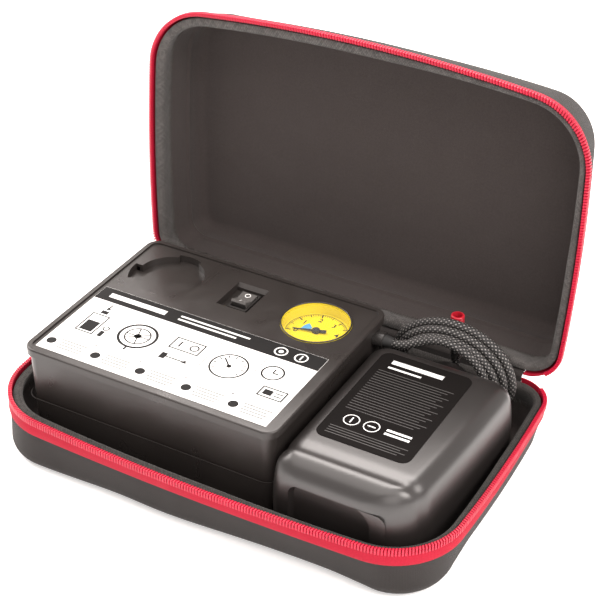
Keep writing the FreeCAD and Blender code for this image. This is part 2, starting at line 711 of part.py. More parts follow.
def housing_trim():
    feet = []
    for x, y in screw_places():
        place = V(x, y, FLOOR_Z)
        feet.append(Part.makeCone(FOOT_R - FOOT_DRAFT, FOOT_R, FOOT_H, place))
    save("rubber_feet", Part.makeCompound(feet))
    screws = []
    for x, y in screw_places():
        head_z = UNIT_Z0 + 2 * HOUSING_WALL
        under = head_z - SCREW_HEAD_H
        head = rod(SCREW_HEAD_R - GAUGE_FIT, V(x, y, under), V(0, 0, 1), SCREW_HEAD_H)
        shank = rod(SCREW_R, V(x, y, head_z), V(0, 0, 1), SPLIT_Z + SCREW_DEPTH - head_z)
        half_l, half_w = SCREW_SLOT_L / 2, SCREW_SLOT_W / 2
        slot = block(x - half_l, x + half_l, y - half_w, y + half_w, under, under + SCREW_SLOT_DEPTH)
        screws.append(head.fuse(shank).cut(slot))
    save("housing_screws", Part.makeCompound(screws))
    x0 = UNIT_X0 + SHEET_FROM_LEFT
    y0 = UNIT_Y0 + SHEET_FROM_FRONT
    save("instruction_sheet", block(x0, x0 + SHEET_L, y0, y0 + SHEET_D, PANEL_Z, PANEL_Z + SHEET_T))
    wall_y = UNIT_Y1 - housing_inset(LEAD_GLAND_Z)
    place = V(LEAD_GLAND_X, wall_y - HOUSING_WALL - LEAD_GLAND_TAIL, LEAD_GLAND_Z)
    length = LEAD_GLAND_TAIL + HOUSING_WALL + LEAD_GLAND_STAND + LEAD_GLAND_FLANGE_T
    ey = V(0, 1, 0)
    gland = rod(LEAD_GLAND_R - GAUGE_FIT, place, ey, length)
    face = V(LEAD_GLAND_X, wall_y + LEAD_GLAND_STAND, LEAD_GLAND_Z)
    gland = gland.fuse(rod(LEAD_GLAND_R + LEAD_GLAND_FLANGE, face, ey, LEAD_GLAND_FLANGE_T))
    save("lead_gland", gland.cut(rod(LEAD_GLAND_BORE_R, place, ey, length)))


def switch():
    top = SWITCH_Z + SWITCH_TOP
    frame = block(SWITCH_X - SWITCH_FRAME_L / 2, SWITCH_X + SWITCH_FRAME_L / 2,
                  SWITCH_Y - SWITCH_FRAME_D / 2, SWITCH_Y + SWITCH_FRAME_D / 2, SWITCH_Z, top)
    body = block(SWITCH_X - BODY_L / 2, SWITCH_X + BODY_L / 2, SWITCH_Y - BODY_D / 2, SWITCH_Y + BODY_D / 2,
                 SWITCH_Z - SWITCH_BODY_H, SWITCH_Z)
    well = block(SWITCH_X - ROCKER_L / 2 - ROCKER_GAP, SWITCH_X + ROCKER_L / 2 + ROCKER_GAP,
                 SWITCH_Y - ROCKER_R - ROCKER_GAP, SWITCH_Y + ROCKER_R + ROCKER_GAP,
                 SWITCH_Z - ROCKER_WELL, top)
    pin = rod(ROCKER_PIN_R, V(SWITCH_X - BODY_L / 2, SWITCH_Y, SWITCH_Z), V(1, 0, 0), BODY_L)
    save("switch_body", frame.fuse(body).cut(well).fuse(pin))
    keel = ROCKER_KEEL_D / 2
    points = [V(0, -ROCKER_REACH, ROCKER_RISE), V(0, 0, ROCKER_DIP), V(0, ROCKER_REACH, ROCKER_RISE),
              V(0, keel, -ROCKER_KEEL_H), V(0, -keel, -ROCKER_KEEL_H)]
    rocker = Part.Face(Part.makePolygon(points + points[:1])).extrude(V(ROCKER_L, 0, 0))
    rocker = rocker.common(rod(ROCKER_R, V(0, 0, 0), V(1, 0, 0), ROCKER_L))
    rocker = rocker.cut(rod(ROCKER_PIN_R + RUN_FIT, V(0, 0, 0), V(1, 0, 0), ROCKER_L))
    rocker.rotate(V(0, 0, 0), V(1, 0, 0), -ROCKER_TILT)
    rocker.translate(V(SWITCH_X - ROCKER_L / 2, SWITCH_Y, SWITCH_Z))
    save("rocker", rocker)
    under = SWITCH_Z - SWITCH_BODY_H
    blades = []
    for y in (SWITCH_Y - TERMINAL_GAP / 2, SWITCH_Y + TERMINAL_GAP / 2):
        blades.append(block(SWITCH_X - TERMINAL_W / 2, SWITCH_X + TERMINAL_W / 2, y - TERMINAL_T / 2,
                            y + TERMINAL_T / 2, under - TERMINAL_L, under))
    save("switch_terminals", Part.makeCompound(blades))


def gauge():
    up = V(0, 0, 1)

    def post(radius, z0, z1):
        return rod(radius, V(GAUGE_X, GAUGE_Y, z0), up, z1 - z0)

    floor = PANEL_Z - GAUGE_H
    lens_z = PANEL_Z - LENS_T
    dial_z = PANEL_Z - DIAL_SINK
    inner_r = GAUGE_R - GAUGE_WALL
    seat_r = inner_r - DIAL_LEDGE
    cup = post(GAUGE_R, floor, PANEL_Z).cut(post(seat_r, floor + GAUGE_WALL, PANEL_Z))
    cup = cup.cut(post(inner_r, dial_z - DIAL_T, PANEL_Z)).cut(post(STEM_R, floor, floor + GAUGE_WALL))
    cup = cup.cut(post(GAUGE_R - GAUGE_WALL / 2, lens_z, PANEL_Z))
    save("gauge_cup", cup)
    save("gauge_lens", post(GAUGE_R - GAUGE_WALL / 2 - CHAIN_GAP, lens_z, PANEL_Z))
    dial = post(inner_r - CHAIN_GAP, dial_z - DIAL_T, dial_z)
    save("gauge_dial", dial.cut(post(SPINDLE_R + GAUGE_FIT, floor, PANEL_Z)))
    move_top = dial_z - DIAL_T
    move_z = floor + MOVEMENT_FROM_FLOOR
    spindle_z = move_z + SPINDLE_SEAT
    movement = post(MOVEMENT_R, move_z, move_top)
    save("gauge_movement", movement.cut(post(SPINDLE_R + RUN_FIT, spindle_z, PANEL_Z)))
    stem = post(STEM_R, GAUGE_STEM_Z, move_z).cut(post(STEM_R / 3, GAUGE_STEM_Z, move_z))
    save("gauge_stem", stem)
    bend = [math.radians(BOURDON_SWEEP) * share for share in (0, 0.5, 1)]
    path = Part.Arc(*[V(BOURDON_R * math.cos(a), BOURDON_R * math.sin(a), 0) for a in bend]).toShape()
    root = math.radians(BOURDON_ROOT)
    link = rod(BOURDON_LINK_R, V(0, 0, 0), V(math.cos(root), math.sin(root), 0), BOURDON_R)
    core = rod(MOVEMENT_R, V(0, 0, -MOVEMENT_R), up, 2 * MOVEMENT_R)
    bourdon = sweep(Part.Wire([path]), BOURDON_TUBE_R).fuse(link.cut(core))
    bourdon.rotate(V(0, 0, 0), up, BOURDON_TURN)
    bourdon.translate(V(GAUGE_X, GAUGE_Y, (move_z + move_top) / 2))
    save("bourdon_tube", bourdon)
    half = [V(-NEEDLE_TAIL, -NEEDLE_TAIL_W / 2, 0), V(0, -NEEDLE_W / 2, 0), V(NEEDLE_L, -NEEDLE_TIP_W / 2, 0)]
    points = half + [V(p.x, -p.y, 0) for p in reversed(half)]
    needle = Part.Face(Part.makePolygon(points + points[:1])).extrude(V(0, 0, NEEDLE_T))
    needle.rotate(V(0, 0, 0), up, NEEDLE_ZERO)
    needle.translate(V(GAUGE_X, GAUGE_Y, dial_z + NEEDLE_LIFT))
    hub_z = dial_z + HUB_LIFT
    needle = needle.fuse(post(HUB_R, hub_z, hub_z + HUB_H))
    save("gauge_needle", needle.fuse(post(SPINDLE_R, spindle_z + GAUGE_FIT, hub_z + HUB_H / 2)))


# Air pump: motor, reduction gear, crank and piston, all on one frame.
def gear_wire(teeth, addendum, dedendum, turn, x, cy, cz):
    pitch_r = MODULE * teeth / 2
    base_r = pitch_r * math.cos(PRESSURE_ANGLE)
    tip_r, root_r = pitch_r + addendum, pitch_r - dedendum

    def involute(radius):
        return math.tan(math.acos(base_r / radius)) - math.acos(base_r / radius)

    half = math.pi / (2 * teeth) - BACKLASH / (2 * pitch_r)
    start_r = max(base_r, root_r)
    radii = [start_r + (tip_r - start_r) * k / FLANK_STEPS for k in range(FLANK_STEPS + 1)]
    flank = [(r, half + involute(pitch_r) - involute(r)) for r in radii]
    if root_r < base_r:
        flank = [(root_r, flank[0][1])] + flank
    points = []
    for tooth in range(teeth):
        middle = turn + 2 * math.pi * tooth / teeth
        sides = [(r, middle - a) for r, a in flank] + [(r, middle + a) for r, a in reversed(flank)]
        points += [V(x, cy + r * math.cos(a), cz + r * math.sin(a)) for r, a in sides]
    return Part.makePolygon(points + points[:1])


def air_pump():
    ex = V(1, 0, 0)

    def along(radius, x0, x1, y=MOTOR_Y):
        return rod(radius, V(x0, y, PUMP_Z), ex, x1 - x0)

    inner_r = MOTOR_R - MOTOR_WALL
    can = along(MOTOR_R, MOTOR_X0, MOTOR_X1).cut(along(inner_r, MOTOR_X0, MOTOR_X1 - MOTOR_WALL))
    can = can.cut(along(MOTOR_SHAFT_R + RUN_FIT, MOTOR_X0, MOTOR_X1))
    save("motor_can", can)
    cap = along(MOTOR_R, MOTOR_X0 - FRAME_T, MOTOR_X0)
    cap = cap.cut(along(MOTOR_SHAFT_R + RUN_FIT, MOTOR_X0 - FRAME_T / 2, MOTOR_X0))
    for y in (MOTOR_Y - TAB_OFFSET, MOTOR_Y + TAB_OFFSET):
        cap = cap.fuse(block(MOTOR_X0 - FRAME_T - TAB_L, MOTOR_X0 - FRAME_T, y - TERMINAL_W / 2,
                             y + TERMINAL_W / 2, PUMP_Z - TAB_T / 2, PUMP_Z + TAB_T / 2))
    save("motor_end_cap", cap)
    magnet_x0, magnet_x1 = MOTOR_X0 + MAGNET_FROM_END, MOTOR_X1 - MAGNET_FROM_END
    magnets = along(inner_r, magnet_x0, magnet_x1).cut(along(inner_r - MAGNET_T, magnet_x0, magnet_x1))
    magnets = magnets.cut(block(magnet_x0, magnet_x1, MOTOR_Y - MOTOR_R, MOTOR_Y + MOTOR_R,
                                PUMP_Z - MAGNET_SPLIT / 2, PUMP_Z + MAGNET_SPLIT / 2))
    save("motor_magnets", Part.makeCompound(magnets.Solids))
    pinion_x1 = GEAR_X1 + PINION_PAST_GEAR
    core_x0 = magnet_x0 + ROTOR_FROM_MAGNET
    rotor = along(ROTOR_R, core_x0, magnet_x1 - ROTOR_FROM_MAGNET)
    shaft_x0 = MOTOR_X0 - FRAME_T / 2 + 2 * RUN_FIT
    rotor = rotor.fuse(along(MOTOR_SHAFT_R, shaft_x0, pinion_x1 + SHAFT_PAST_PINION))
    rotor = rotor.fuse(along(COMMUTATOR_R, MOTOR_X0 + COMMUTATOR_FROM_END, core_x0))
    save("motor_rotor", rotor)
    pinion = Part.Face(gear_wire(PINION_TEETH, ADDENDUM, DEDENDUM, 0, GEAR_X0, MOTOR_Y, PUMP_Z))
    pinion = pinion.extrude(V(pinion_x1 - GEAR_X0, 0, 0)).cut(along(MOTOR_SHAFT_R, GEAR_X0, pinion_x1))
    save("motor_pinion", pinion)

    half_tooth = math.pi / GEAR_TEETH
    gear = Part.Face(gear_wire(GEAR_TEETH, ADDENDUM, DEDENDUM, half_tooth, GEAR_X0, GEAR_Y, PUMP_Z))
    gear = gear.extrude(V(GEAR_T, 0, 0))
    web_r = MODULE * GEAR_TEETH / 2 - GEAR_RIM_W
    web_x = GEAR_X0 + GEAR_WEB_CUT
    web = along(web_r, GEAR_X0, web_x, GEAR_Y)
    gear = gear.cut(web.cut(along(2 * CRANK_SHAFT_R, GEAR_X0, web_x, GEAR_Y)))
    gear = gear.fuse(along(CRANK_SHAFT_R, MOTOR_X1 - CRANK_SHAFT_PAST, web_x, GEAR_Y))
    gear = gear.fuse(along(CRANK_PIN_R, GEAR_X1, GEAR_X1 + CRANK_PIN_L, ROD_Y0))
    save("crank_gear", gear)
    bush_x0 = MOTOR_X1 - BUSH_COLLAR
    bush = along(BUSH_R, bush_x0, MOTOR_X1 + FRAME_T + BUSH_COLLAR, GEAR_Y)
    save("crank_bush", bush.cut(along(CRANK_SHAFT_R + RUN_FIT, bush_x0, GEAR_X0, GEAR_Y)))

    plate_z0, plate_z1 = UNIT_Z0 + HOUSING_WALL, PUMP_Z + MOTOR_R + FRAME_ABOVE
    plate_y0, plate_y1 = MOTOR_Y - MOTOR_R - FRAME_PAST_MOTOR, BORE_Y0 + FRAME_PAST_BORE
    plate = block(MOTOR_X1, MOTOR_X1 + FRAME_T, plate_y0, plate_y1, plate_z0, plate_z1)
    foot = block(MOTOR_X1 - FRAME_FOOT_L, MOTOR_X1, plate_y0, plate_y1, plate_z0, plate_z0 + FRAME_T)
    screw_x = MOTOR_X1 - FRAME_FOOT_L / 2
    saddle = block(MOTOR_X1, ROD_X, plate_y1 - SADDLE_L, plate_y1,
                   PUMP_Z - SADDLE_H / 2, PUMP_Z + SADDLE_H / 2)
    out_r = BORE_R + CYLINDER_WALL
    saddle = saddle.cut(rod(out_r, V(ROD_X, BORE_Y0, PUMP_Z), V(0, 1, 0), BORE_Y1 - BORE_Y0))
    frame = plate.fuse(foot).fuse(saddle)
    frame = frame.cut(along(BUSH_R, MOTOR_X1, GEAR_X0, GEAR_Y))
    frame = frame.cut(along(MOTOR_SHAFT_R + SHAFT_HOLE_GAP, MOTOR_X1, GEAR_X0))
    screw_rows = (plate_y0 + FRAME_SCREW_IN, plate_y1 - FRAME_SCREW_IN)
    for y in screw_rows:
        frame = frame.cut(rod(SCREW_R, V(screw_x, y, plate_z0), V(0, 0, 1), FRAME_T))
    save("pump_frame", frame)
    screws = []
    for y in screw_rows:
        head = rod(SCREW_HEAD_R, V(screw_x, y, plate_z0 + FRAME_T), V(0, 0, 1), FRAME_SCREW_HEAD_H)
        screws.append(head.fuse(rod(SCREW_R, V(screw_x, y, plate_z0), V(0, 0, 1), FRAME_T)))
    save("frame_screws", Part.makeCompound(screws))

    ey = V(0, 1, 0)

    def bore(radius, y0, y1):
        return rod(radius, V(ROD_X, y0, PUMP_Z), ey, y1 - y0)

    eye = rod(ROD_EYE_R, V(ROD_X0, ROD_Y0, PUMP_Z), ex, ROD_T)
    bar = block(ROD_X0 + ROD_RECESS, ROD_X0 + ROD_T - ROD_RECESS, ROD_Y0, PISTON_Y0,
                PUMP_Z - ROD_H / 2, PUMP_Z + ROD_H / 2)
    piston = eye.fuse(bar).fuse(bore(BORE_R - PISTON_GAP, PISTON_Y0, PISTON_Y0 + PISTON_T))
    piston = piston.cut(rod(CRANK_PIN_R + PISTON_GAP, V(ROD_X0, ROD_Y0, PUMP_Z), ex, ROD_T))
    save("piston_rod", piston)
    seal_y = PISTON_Y0 + PISTON_T
    seal = bore(BORE_R - PISTON_GAP, seal_y, seal_y + SEAL_T)
    save("piston_seal", seal.cut(bore(BORE_R - SEAL_LIP, seal_y + SEAL_WEB, seal_y + SEAL_T)))
    cylinder = bore(out_r, BORE_Y0, BORE_Y1)
    fin_y = BORE_Y0 + FIN_FROM_END
    while fin_y + FIN_T < BORE_Y1:
        cylinder = cylinder.fuse(bore(FIN_R, fin_y, fin_y + FIN_T))
        fin_y += FIN_PITCH
    save("pump_cylinder", cylinder.cut(bore(BORE_R, BORE_Y0, BORE_Y1)))
    half = HEAD_W / 2
    head = block(ROD_X - half, ROD_X + half, BORE_Y1, BORE_Y1 + HEAD_T, PUMP_Z - half, PUMP_Z + half)
    port_y = BORE_Y1 + HEAD_T / 2
    head = head.makeFillet(HEAD_EDGE_R, [e for e in head.Edges if abs(e.CenterOfMass.y - port_y) < 1e-4])
    head = head.cut(bore(BORE_R - HEAD_ROOM_IN, BORE_Y1, port_y))
    pipe_x0 = ROD_X + half - PORT_DEPTH
    head = head.cut(rod(PIPE_R, V(pipe_x0, port_y, PUMP_Z), ex, PORT_DEPTH))
    head = head.cut(rod(PIPE_R - PIPE_WALL, V(ROD_X, port_y, PUMP_Z), ex, half))
    corner = half - HEAD_SCREW_IN
    spots = [(ROD_X + sx * corner, PUMP_Z + sz * corner) for sx in (-1, 1) for sz in (-1, 1)]
    for x, z in spots:
        head = head.cut(rod(SCREW_R, V(x, BORE_Y1, z), ey, HEAD_T))
    save("cylinder_head", head)
    bolts = []
    for x, z in spots:
        bolt = rod(SCREW_R, V(x, BORE_Y1, z), ey, HEAD_T)
        bolts.append(bolt.fuse(rod(SCREW_HEAD_R, V(x, BORE_Y1 + HEAD_T, z), ey, SCREW_HEAD_H)))
    save("head_screws", Part.makeCompound(bolts))

    tee_x0, tee_x1 = GAUGE_X - TEE_W / 2, GAUGE_X + TEE_W / 2
    tee_y0, tee_y1 = min(GAUGE_Y, port_y) - TEE_W / 2, max(GAUGE_Y, port_y) + TEE_W / 2
    tee = block(tee_x0, tee_x1, tee_y0, tee_y1, PUMP_Z - TEE_W / 2, PUMP_Z + TEE_W / 2)
    tee = tee.cut(rod(PIPE_R - PIPE_WALL, V(tee_x0, port_y, PUMP_Z), ex, TEE_W))
    tee = tee.cut(rod(STEM_R / 3, V(GAUGE_X, GAUGE_Y, PUMP_Z), V(0, 0, 1), TEE_W / 2))
    tee = tee.cut(rod(PIPE_R - PIPE_WALL, V(GAUGE_X, tee_y0 + TEE_WALL, PUMP_Z), ey,
                      tee_y1 - tee_y0 - 2 * TEE_WALL))
    save("pressure_tee", tee)
    save("delivery_pipe", ring(PIPE_R, PIPE_R - PIPE_WALL, V(pipe_x0, port_y, PUMP_Z), ex, tee_x0 - pipe_x0))
    wall_x = UNIT_X1 - housing_inset(OUTLET_Z) - HOUSING_WALL
    riser_x = wall_x - RISER_FROM_WALL
    route = [V(tee_x1, port_y, PUMP_Z), V(riser_x, port_y, PUMP_Z), V(riser_x, OUTLET_Y, OUTLET_Z),
             V(wall_x + HOUSING_WALL, OUTLET_Y, OUTLET_Z)]
    save("outlet_pipe", tube(route, PIPE_BEND_R, PIPE_R).cut(tube(route, PIPE_BEND_R, PIPE_R - PIPE_WALL)))


def rounded_route(points, bend):
    edges = []
    last = points[0]
    for before, here, after in zip(points, points[1:], points[2:]):
        a = (before - here).normalize()
        b = (after - here).normalize()
        half = a.getAngle(b) / 2
        reach = bend / math.tan(half)
        start, end = here + a * reach, here + b * reach
        axis = (a + b).normalize()
        middle = here + axis * (bend / math.sin(half) - bend)
        edges.append(Part.LineSegment(last, start).toShape())
        edges.append(Part.Arc(start, middle, end).toShape())
        last = end
    edges.append(Part.LineSegment(last, points[-1]).toShape())
    return Part.Wire(edges)


def sweep(path, radius):
    edge = path.Edges[0]
    start = edge.valueAt(edge.FirstParameter)
    heading = edge.tangentAt(edge.FirstParameter)
    section = Part.Wire([Part.Circle(start, heading, radius).toShape()])
    pipe = Part.BRepOffsetAPI.MakePipeShell(path)
    pipe.add(section)
    pipe.build()
    pipe.makeSolid()
    return pipe.shape()


def tube(points, bend, radius):
    return sweep(rounded_route(points, bend), radius)


def inner_wires():
    gland_y = UNIT_Y1 - housing_inset(LEAD_GLAND_Z) - HOUSING_WALL - LEAD_GLAND_TAIL
    blade_x = SWITCH_X - TERMINAL_W / 2
    blade_z = SWITCH_Z - SWITCH_BODY_H - TERMINAL_L / 2
    tab_x = MOTOR_X0 - FRAME_T - TAB_L / 2
    front_blade, back_blade = SWITCH_Y - TERMINAL_GAP / 2, SWITCH_Y + TERMINAL_GAP / 2
    near_tab, far_tab = MOTOR_Y + TAB_OFFSET, MOTOR_Y - TAB_OFFSET
    turn_y = MOTOR_Y + MOTOR_R + WIRE_PAST_MOTOR
    feed_x = LEAD_GLAND_X + WIRE_R + WIRE_PAIR_GAP / 2
    return_x = LEAD_GLAND_X - WIRE_R - WIRE_PAIR_GAP / 2
    feed = [V(feed_x, gland_y, LEAD_GLAND_Z), V(feed_x, back_blade, LEAD_GLAND_Z),
            V(feed_x, back_blade, blade_z), V(blade_x, back_blade, blade_z)]
    switched = [V(blade_x, front_blade, blade_z), V(tab_x, front_blade, blade_z),
                V(tab_x, near_tab, blade_z), V(tab_x, near_tab, PUMP_Z + TAB_T / 2)]
    back = [V(return_x, gland_y, LEAD_GLAND_Z), V(return_x, turn_y, LEAD_GLAND_Z),
            V(tab_x, turn_y, LEAD_GLAND_Z), V(tab_x, far_tab, LEAD_GLAND_Z),
            V(tab_x, far_tab, PUMP_Z - TAB_T / 2)]
    wires = [tube(route, WIRE_BEND_R, WIRE_R) for route in (feed, switched, back)]
    save("inner_wires", Part.makeCompound(wires))


# Sealant bottle: flat top and bottom, bowed sides, a rolled foot end and a sloped shoulder.
# Its right side spreads towards the shoulder.
def rolled(from_end, length):
    return 1 - math.sqrt(1 - max(0.0, 1 - from_end / length) ** 2)


def roll_stations(length, nearest):
    start = math.asin(1 - nearest / length)
    return [length * (1 - math.sin(start * (1 - k / ROLL_STEPS))) for k in range(ROLL_STEPS + 1)]


def bottle_section(extra, distance):
    foot = rolled(distance, FOOT_END_L)
    foot_side = max(0.0, 1 - distance / FOOT_SIDE_L) ** FOOT_SIDE_POWER
    shoulder = max(0.0, 1 - (BOTTLE_L - distance) / SHOULDER_L) ** SHOULDER_POWER
    spread = BOTTLE_SPREAD * (1 - (1 - distance / BOTTLE_L) ** 2)
    half_w = (BOTTLE_W + spread) / 2 - extra - FOOT_END_SIDE * foot_side - SHOULDER_SIDE * shoulder
    half_h = BOTTLE_H / 2 - extra - FOOT_END_DROP * foot - SHOULDER_DROP * shoulder
    middle_x = BOTTLE_X + spread / 2
    y = BOTTLE_Y0 + distance
    bow_r = BOTTLE_BOW_R - extra
    edge_r = BOTTLE_EDGE_R - extra
    bow_cx = half_w - bow_r
    cx, cz = corner_centre(bow_cx, bow_r, half_h - edge_r, None, None, edge_r)
    lean = math.atan2(cz, cx - bow_cx)
    half_pi = math.pi / 2

    def arc(x, z, radius, start, finish):
        points = []
        for angle in (start, (start + finish) / 2, finish):
            across, up = radius * math.cos(angle), radius * math.sin(angle)
            points.append(V(middle_x + x + across, y, BOTTLE_Z + z + up))
        return Part.Arc(*points).toShape()

    arcs = [arc(bow_cx, 0, bow_r, -lean, lean), arc(cx, cz, edge_r, lean, half_pi),
            arc(-cx, cz, edge_r, half_pi, 2 * half_pi - lean),
            arc(-bow_cx, 0, bow_r, 2 * half_pi - lean, 2 * half_pi + lean),
            arc(-cx, -cz, edge_r, 2 * half_pi + lean, 3 * half_pi),
            arc(cx, -cz, edge_r, 3 * half_pi, 4 * half_pi - lean)]
    ends = [(e.valueAt(e.FirstParameter), e.valueAt(e.LastParameter)) for e in arcs]
    top = Part.LineSegment(ends[1][1], ends[2][0]).toShape()
    under = Part.LineSegment(ends[4][1], ends[5][0]).toShape()
    return Part.Wire([arcs[0], arcs[1], top, arcs[2], arcs[3], arcs[4], under, arcs[5]])


def bottle_body(extra, start, finish):
    foot = roll_stations(FOOT_END_L, start)
    side = [FOOT_END_L, (FOOT_END_L + FOOT_SIDE_L) / 2, FOOT_SIDE_L]
    shoulder_start = BOTTLE_L - SHOULDER_L
    shares = [k / ROLL_STEPS for k in range(ROLL_STEPS + 1)]
    middle = [FOOT_SIDE_L + share * (shoulder_start - FOOT_SIDE_L) for share in shares]
    shoulder = [shoulder_start + share * (finish - shoulder_start) for share in shares]
    lofts = [Part.makeLoft([bottle_section(extra, d) for d in stations], True, False)
             for stations in (foot, side, middle, shoulder)]
    return lofts[0].fuse(lofts[1:])


def bottle():
    ey = V(0, 1, 0)

    def axle(radius, y0, y1):
        return rod(radius, V(BOTTLE_X, y0, BOTTLE_Z), ey, y1 - y0)

    body = bottle_body(0, 0, BOTTLE_L)
    groove_ends = (GROOVE_FROM_FOOT, GROOVE_FROM_FOOT + GROOVE_W)
    outside, inside = [Part.makeLoft([bottle_section(extra, d) for d in groove_ends], True, True)
                       for extra in (-2 * GROOVE_DEPTH, GROOVE_DEPTH)]
    band = outside.cut(inside)
    panel = rounded_prism(BOTTLE_X - FOOT_PANEL_L / 2, BOTTLE_X + FOOT_PANEL_L / 2,
                          -BOTTLE_Z - FOOT_PANEL_H / 2, -BOTTLE_Z + FOOT_PANEL_H / 2,
                          FOOT_PANEL_R, 0, FOOT_PANEL_DEPTH)
    panel.rotate(V(0, 0, 0), V(1, 0, 0), -90)
    panel.translate(V(0, BOTTLE_Y0, 0))
    neck_end = BOTTLE_Y1 + NECK_L
    outer = body.cut(band).cut(panel).fuse(axle(NECK_R, BOTTLE_Y1 - BOTTLE_WALL, neck_end))
    room = bottle_body(BOTTLE_WALL, FOOT_PANEL_DEPTH + BOTTLE_WALL, BOTTLE_L - BOTTLE_WALL)
    room = room.fuse(axle(NECK_R - BOTTLE_WALL, BOTTLE_Y1 - 2 * BOTTLE_WALL, neck_end))
    save("bottle_shell", outer.cut(room))
    level = FLOOR_Z + FILL_DEPTH
    save("sealant_fill", room.common(block(-HALF_L, HALF_L, -HALF_D, BOTTLE_Y1, FLOOR_Z, level)))
    gasket = axle(NECK_R, neck_end, neck_end + GASKET_T)
    save("cap_gasket", gasket.cut(axle(NECK_R - 2 * BOTTLE_WALL, neck_end, neck_end + GASKET_T)))
    cap_y1 = neck_end + GASKET_T + CAP_T
    cap_y0 = cap_y1 - CAP_L
    cap = axle(CAP_R, cap_y0, cap_y1).cut(axle(NECK_R + GAUGE_FIT, cap_y0, cap_y1 - CAP_T))
    lug_r = SEAT_R - CAP_FIT
    for side in (-1, 1):
        inner, outer_x = BOTTLE_X + side * (CAP_R - CAP_LUG_ROOT), BOTTLE_X + side * lug_r
        lug = block(min(inner, outer_x), max(inner, outer_x), cap_y1 - CAP_LUG_L, cap_y1,
                    BOTTLE_Z - CAP_LUG_W / 2, BOTTLE_Z + CAP_LUG_W / 2)
        cap = cap.fuse(lug.common(axle(lug_r, cap_y0, cap_y1)))
    cap = cap.cut(axle(NECK_R + GAUGE_FIT, cap_y0, cap_y1 - CAP_T))
    save("bottle_cap", cap)
    top = FLOOR_Z + BOTTLE_H
    y0 = BOTTLE_Y0 + LABEL_FROM_FRONT
    x0 = BOTTLE_X + LABEL_OFFSET - LABEL_W / 2
    save("bottle_label", rounded_prism(x0, x0 + LABEL_W, y0, y0 + LABEL_L, LABEL_R, top, top + LABEL_T))


# Air hose: out of the unit's right wall, round behind the bottle, ending in the valve chuck.
def biarc(p0, t0, p1, t1):
    chord = p1 - p0
    both = t0 + t1
    a = 2 * (1 - t0.dot(t1))
    b = 2 * chord.dot(both)
    c = -chord.dot(chord)
    reach = -c / b if abs(a) < 1e-9 else (-b + math.sqrt(b * b - 4 * a * c)) / (2 * a)
    q0, q1 = p0 + t0 * reach, p1 - t1 * reach
    joint = (q0 + q1) * 0.5
    return [half_arc(p0, q0, joint), half_arc(joint, q1, p1)]


def half_arc(start, corner, end):
    a, b = (start - corner), (end - corner)
    half = a.getAngle(b) / 2
    reach = a.Length
    inward = (a.normalize() + b.normalize())
    if inward.Length < 1e-6:
        return Part.LineSegment(start, end).toShape()
    middle = corner + inward.normalize() * (reach / math.cos(half) - reach * math.tan(half))
    return Part.Arc(start, middle, end).toShape()


def coil_point(degrees):
    turn = degrees / 360.0
    angle = math.radians(degrees)
    radius = COIL_R + COIL_GROWTH * turn
    y = BOTTLE_Y1 + HOSE_R + COIL_BEHIND_BOTTLE + COIL_PITCH * turn
    x = BOTTLE_X + COIL_OFFSET_X
    point = V(x + radius * math.sin(angle), y, COIL_CENTRE_Z + radius * math.cos(angle))
    per_radian = 1.0 / (2 * math.pi)
    grow = COIL_GROWTH * per_radian
    heading = V(grow * math.sin(angle) + radius * math.cos(angle), COIL_PITCH * per_radian,
                grow * math.cos(angle) - radius * math.sin(angle))
    return point, heading.normalize()


def hose_stations():
    start = V(NUT_X + NUT_L + BOOT_L, OUTLET_Y, OUTLET_Z)
    stations = [(start, V(1, 0, 0)), (start + V(2 * HOSE_R, 0, 0), V(1, 0, 0))]
    degrees = COIL_START
    end = 360.0 * HOSE_TURNS + TAIL_START
    while degrees < end - 1:
        stations.append(coil_point(degrees))
        degrees += COIL_STEP
    last, heading = coil_point(end)
    stations.append((last, heading))
    flat = V(heading.x, 0, heading.z).normalize()
    side = V(flat.z, 0, -flat.x)
    centre = V(last.x, 0, last.z) + side * TAIL_R
    sweep_angle = 270.0 - TAIL_START + TAIL_LEAN
    tail_y = coil_point(360.0 * HOSE_TURNS)[0].y + TAIL_BACK
    for share in (TAIL_EASE / 2, TAIL_EASE, 1.0):
        turned = math.radians(sweep_angle * share)
        arm = side * (-TAIL_R * math.cos(turned)) + flat * (TAIL_R * math.sin(turned))
        ease = min(1.0, share / TAIL_EASE)
        y = last.y + (tail_y - last.y) * ease
        slope = TAIL_SLOPE if share < TAIL_EASE else 0.0
        way = flat * math.cos(turned) + side * math.sin(turned) + V(0, slope, 0)
        stations.append((V(centre.x + arm.x, y, centre.z + arm.z), way.normalize()))
    point, way = stations[-1]
    stations.append((point + way * (2 * HOSE_R), way))
    return stations


def least_gap(path):
    points = path.discretize(Distance=2.0)
    skip = int(6 * HOSE_R)
    least = min((a - b).Length for i, a in enumerate(points) for b in points[i + skip:])
    return least - 2 * HOSE_R


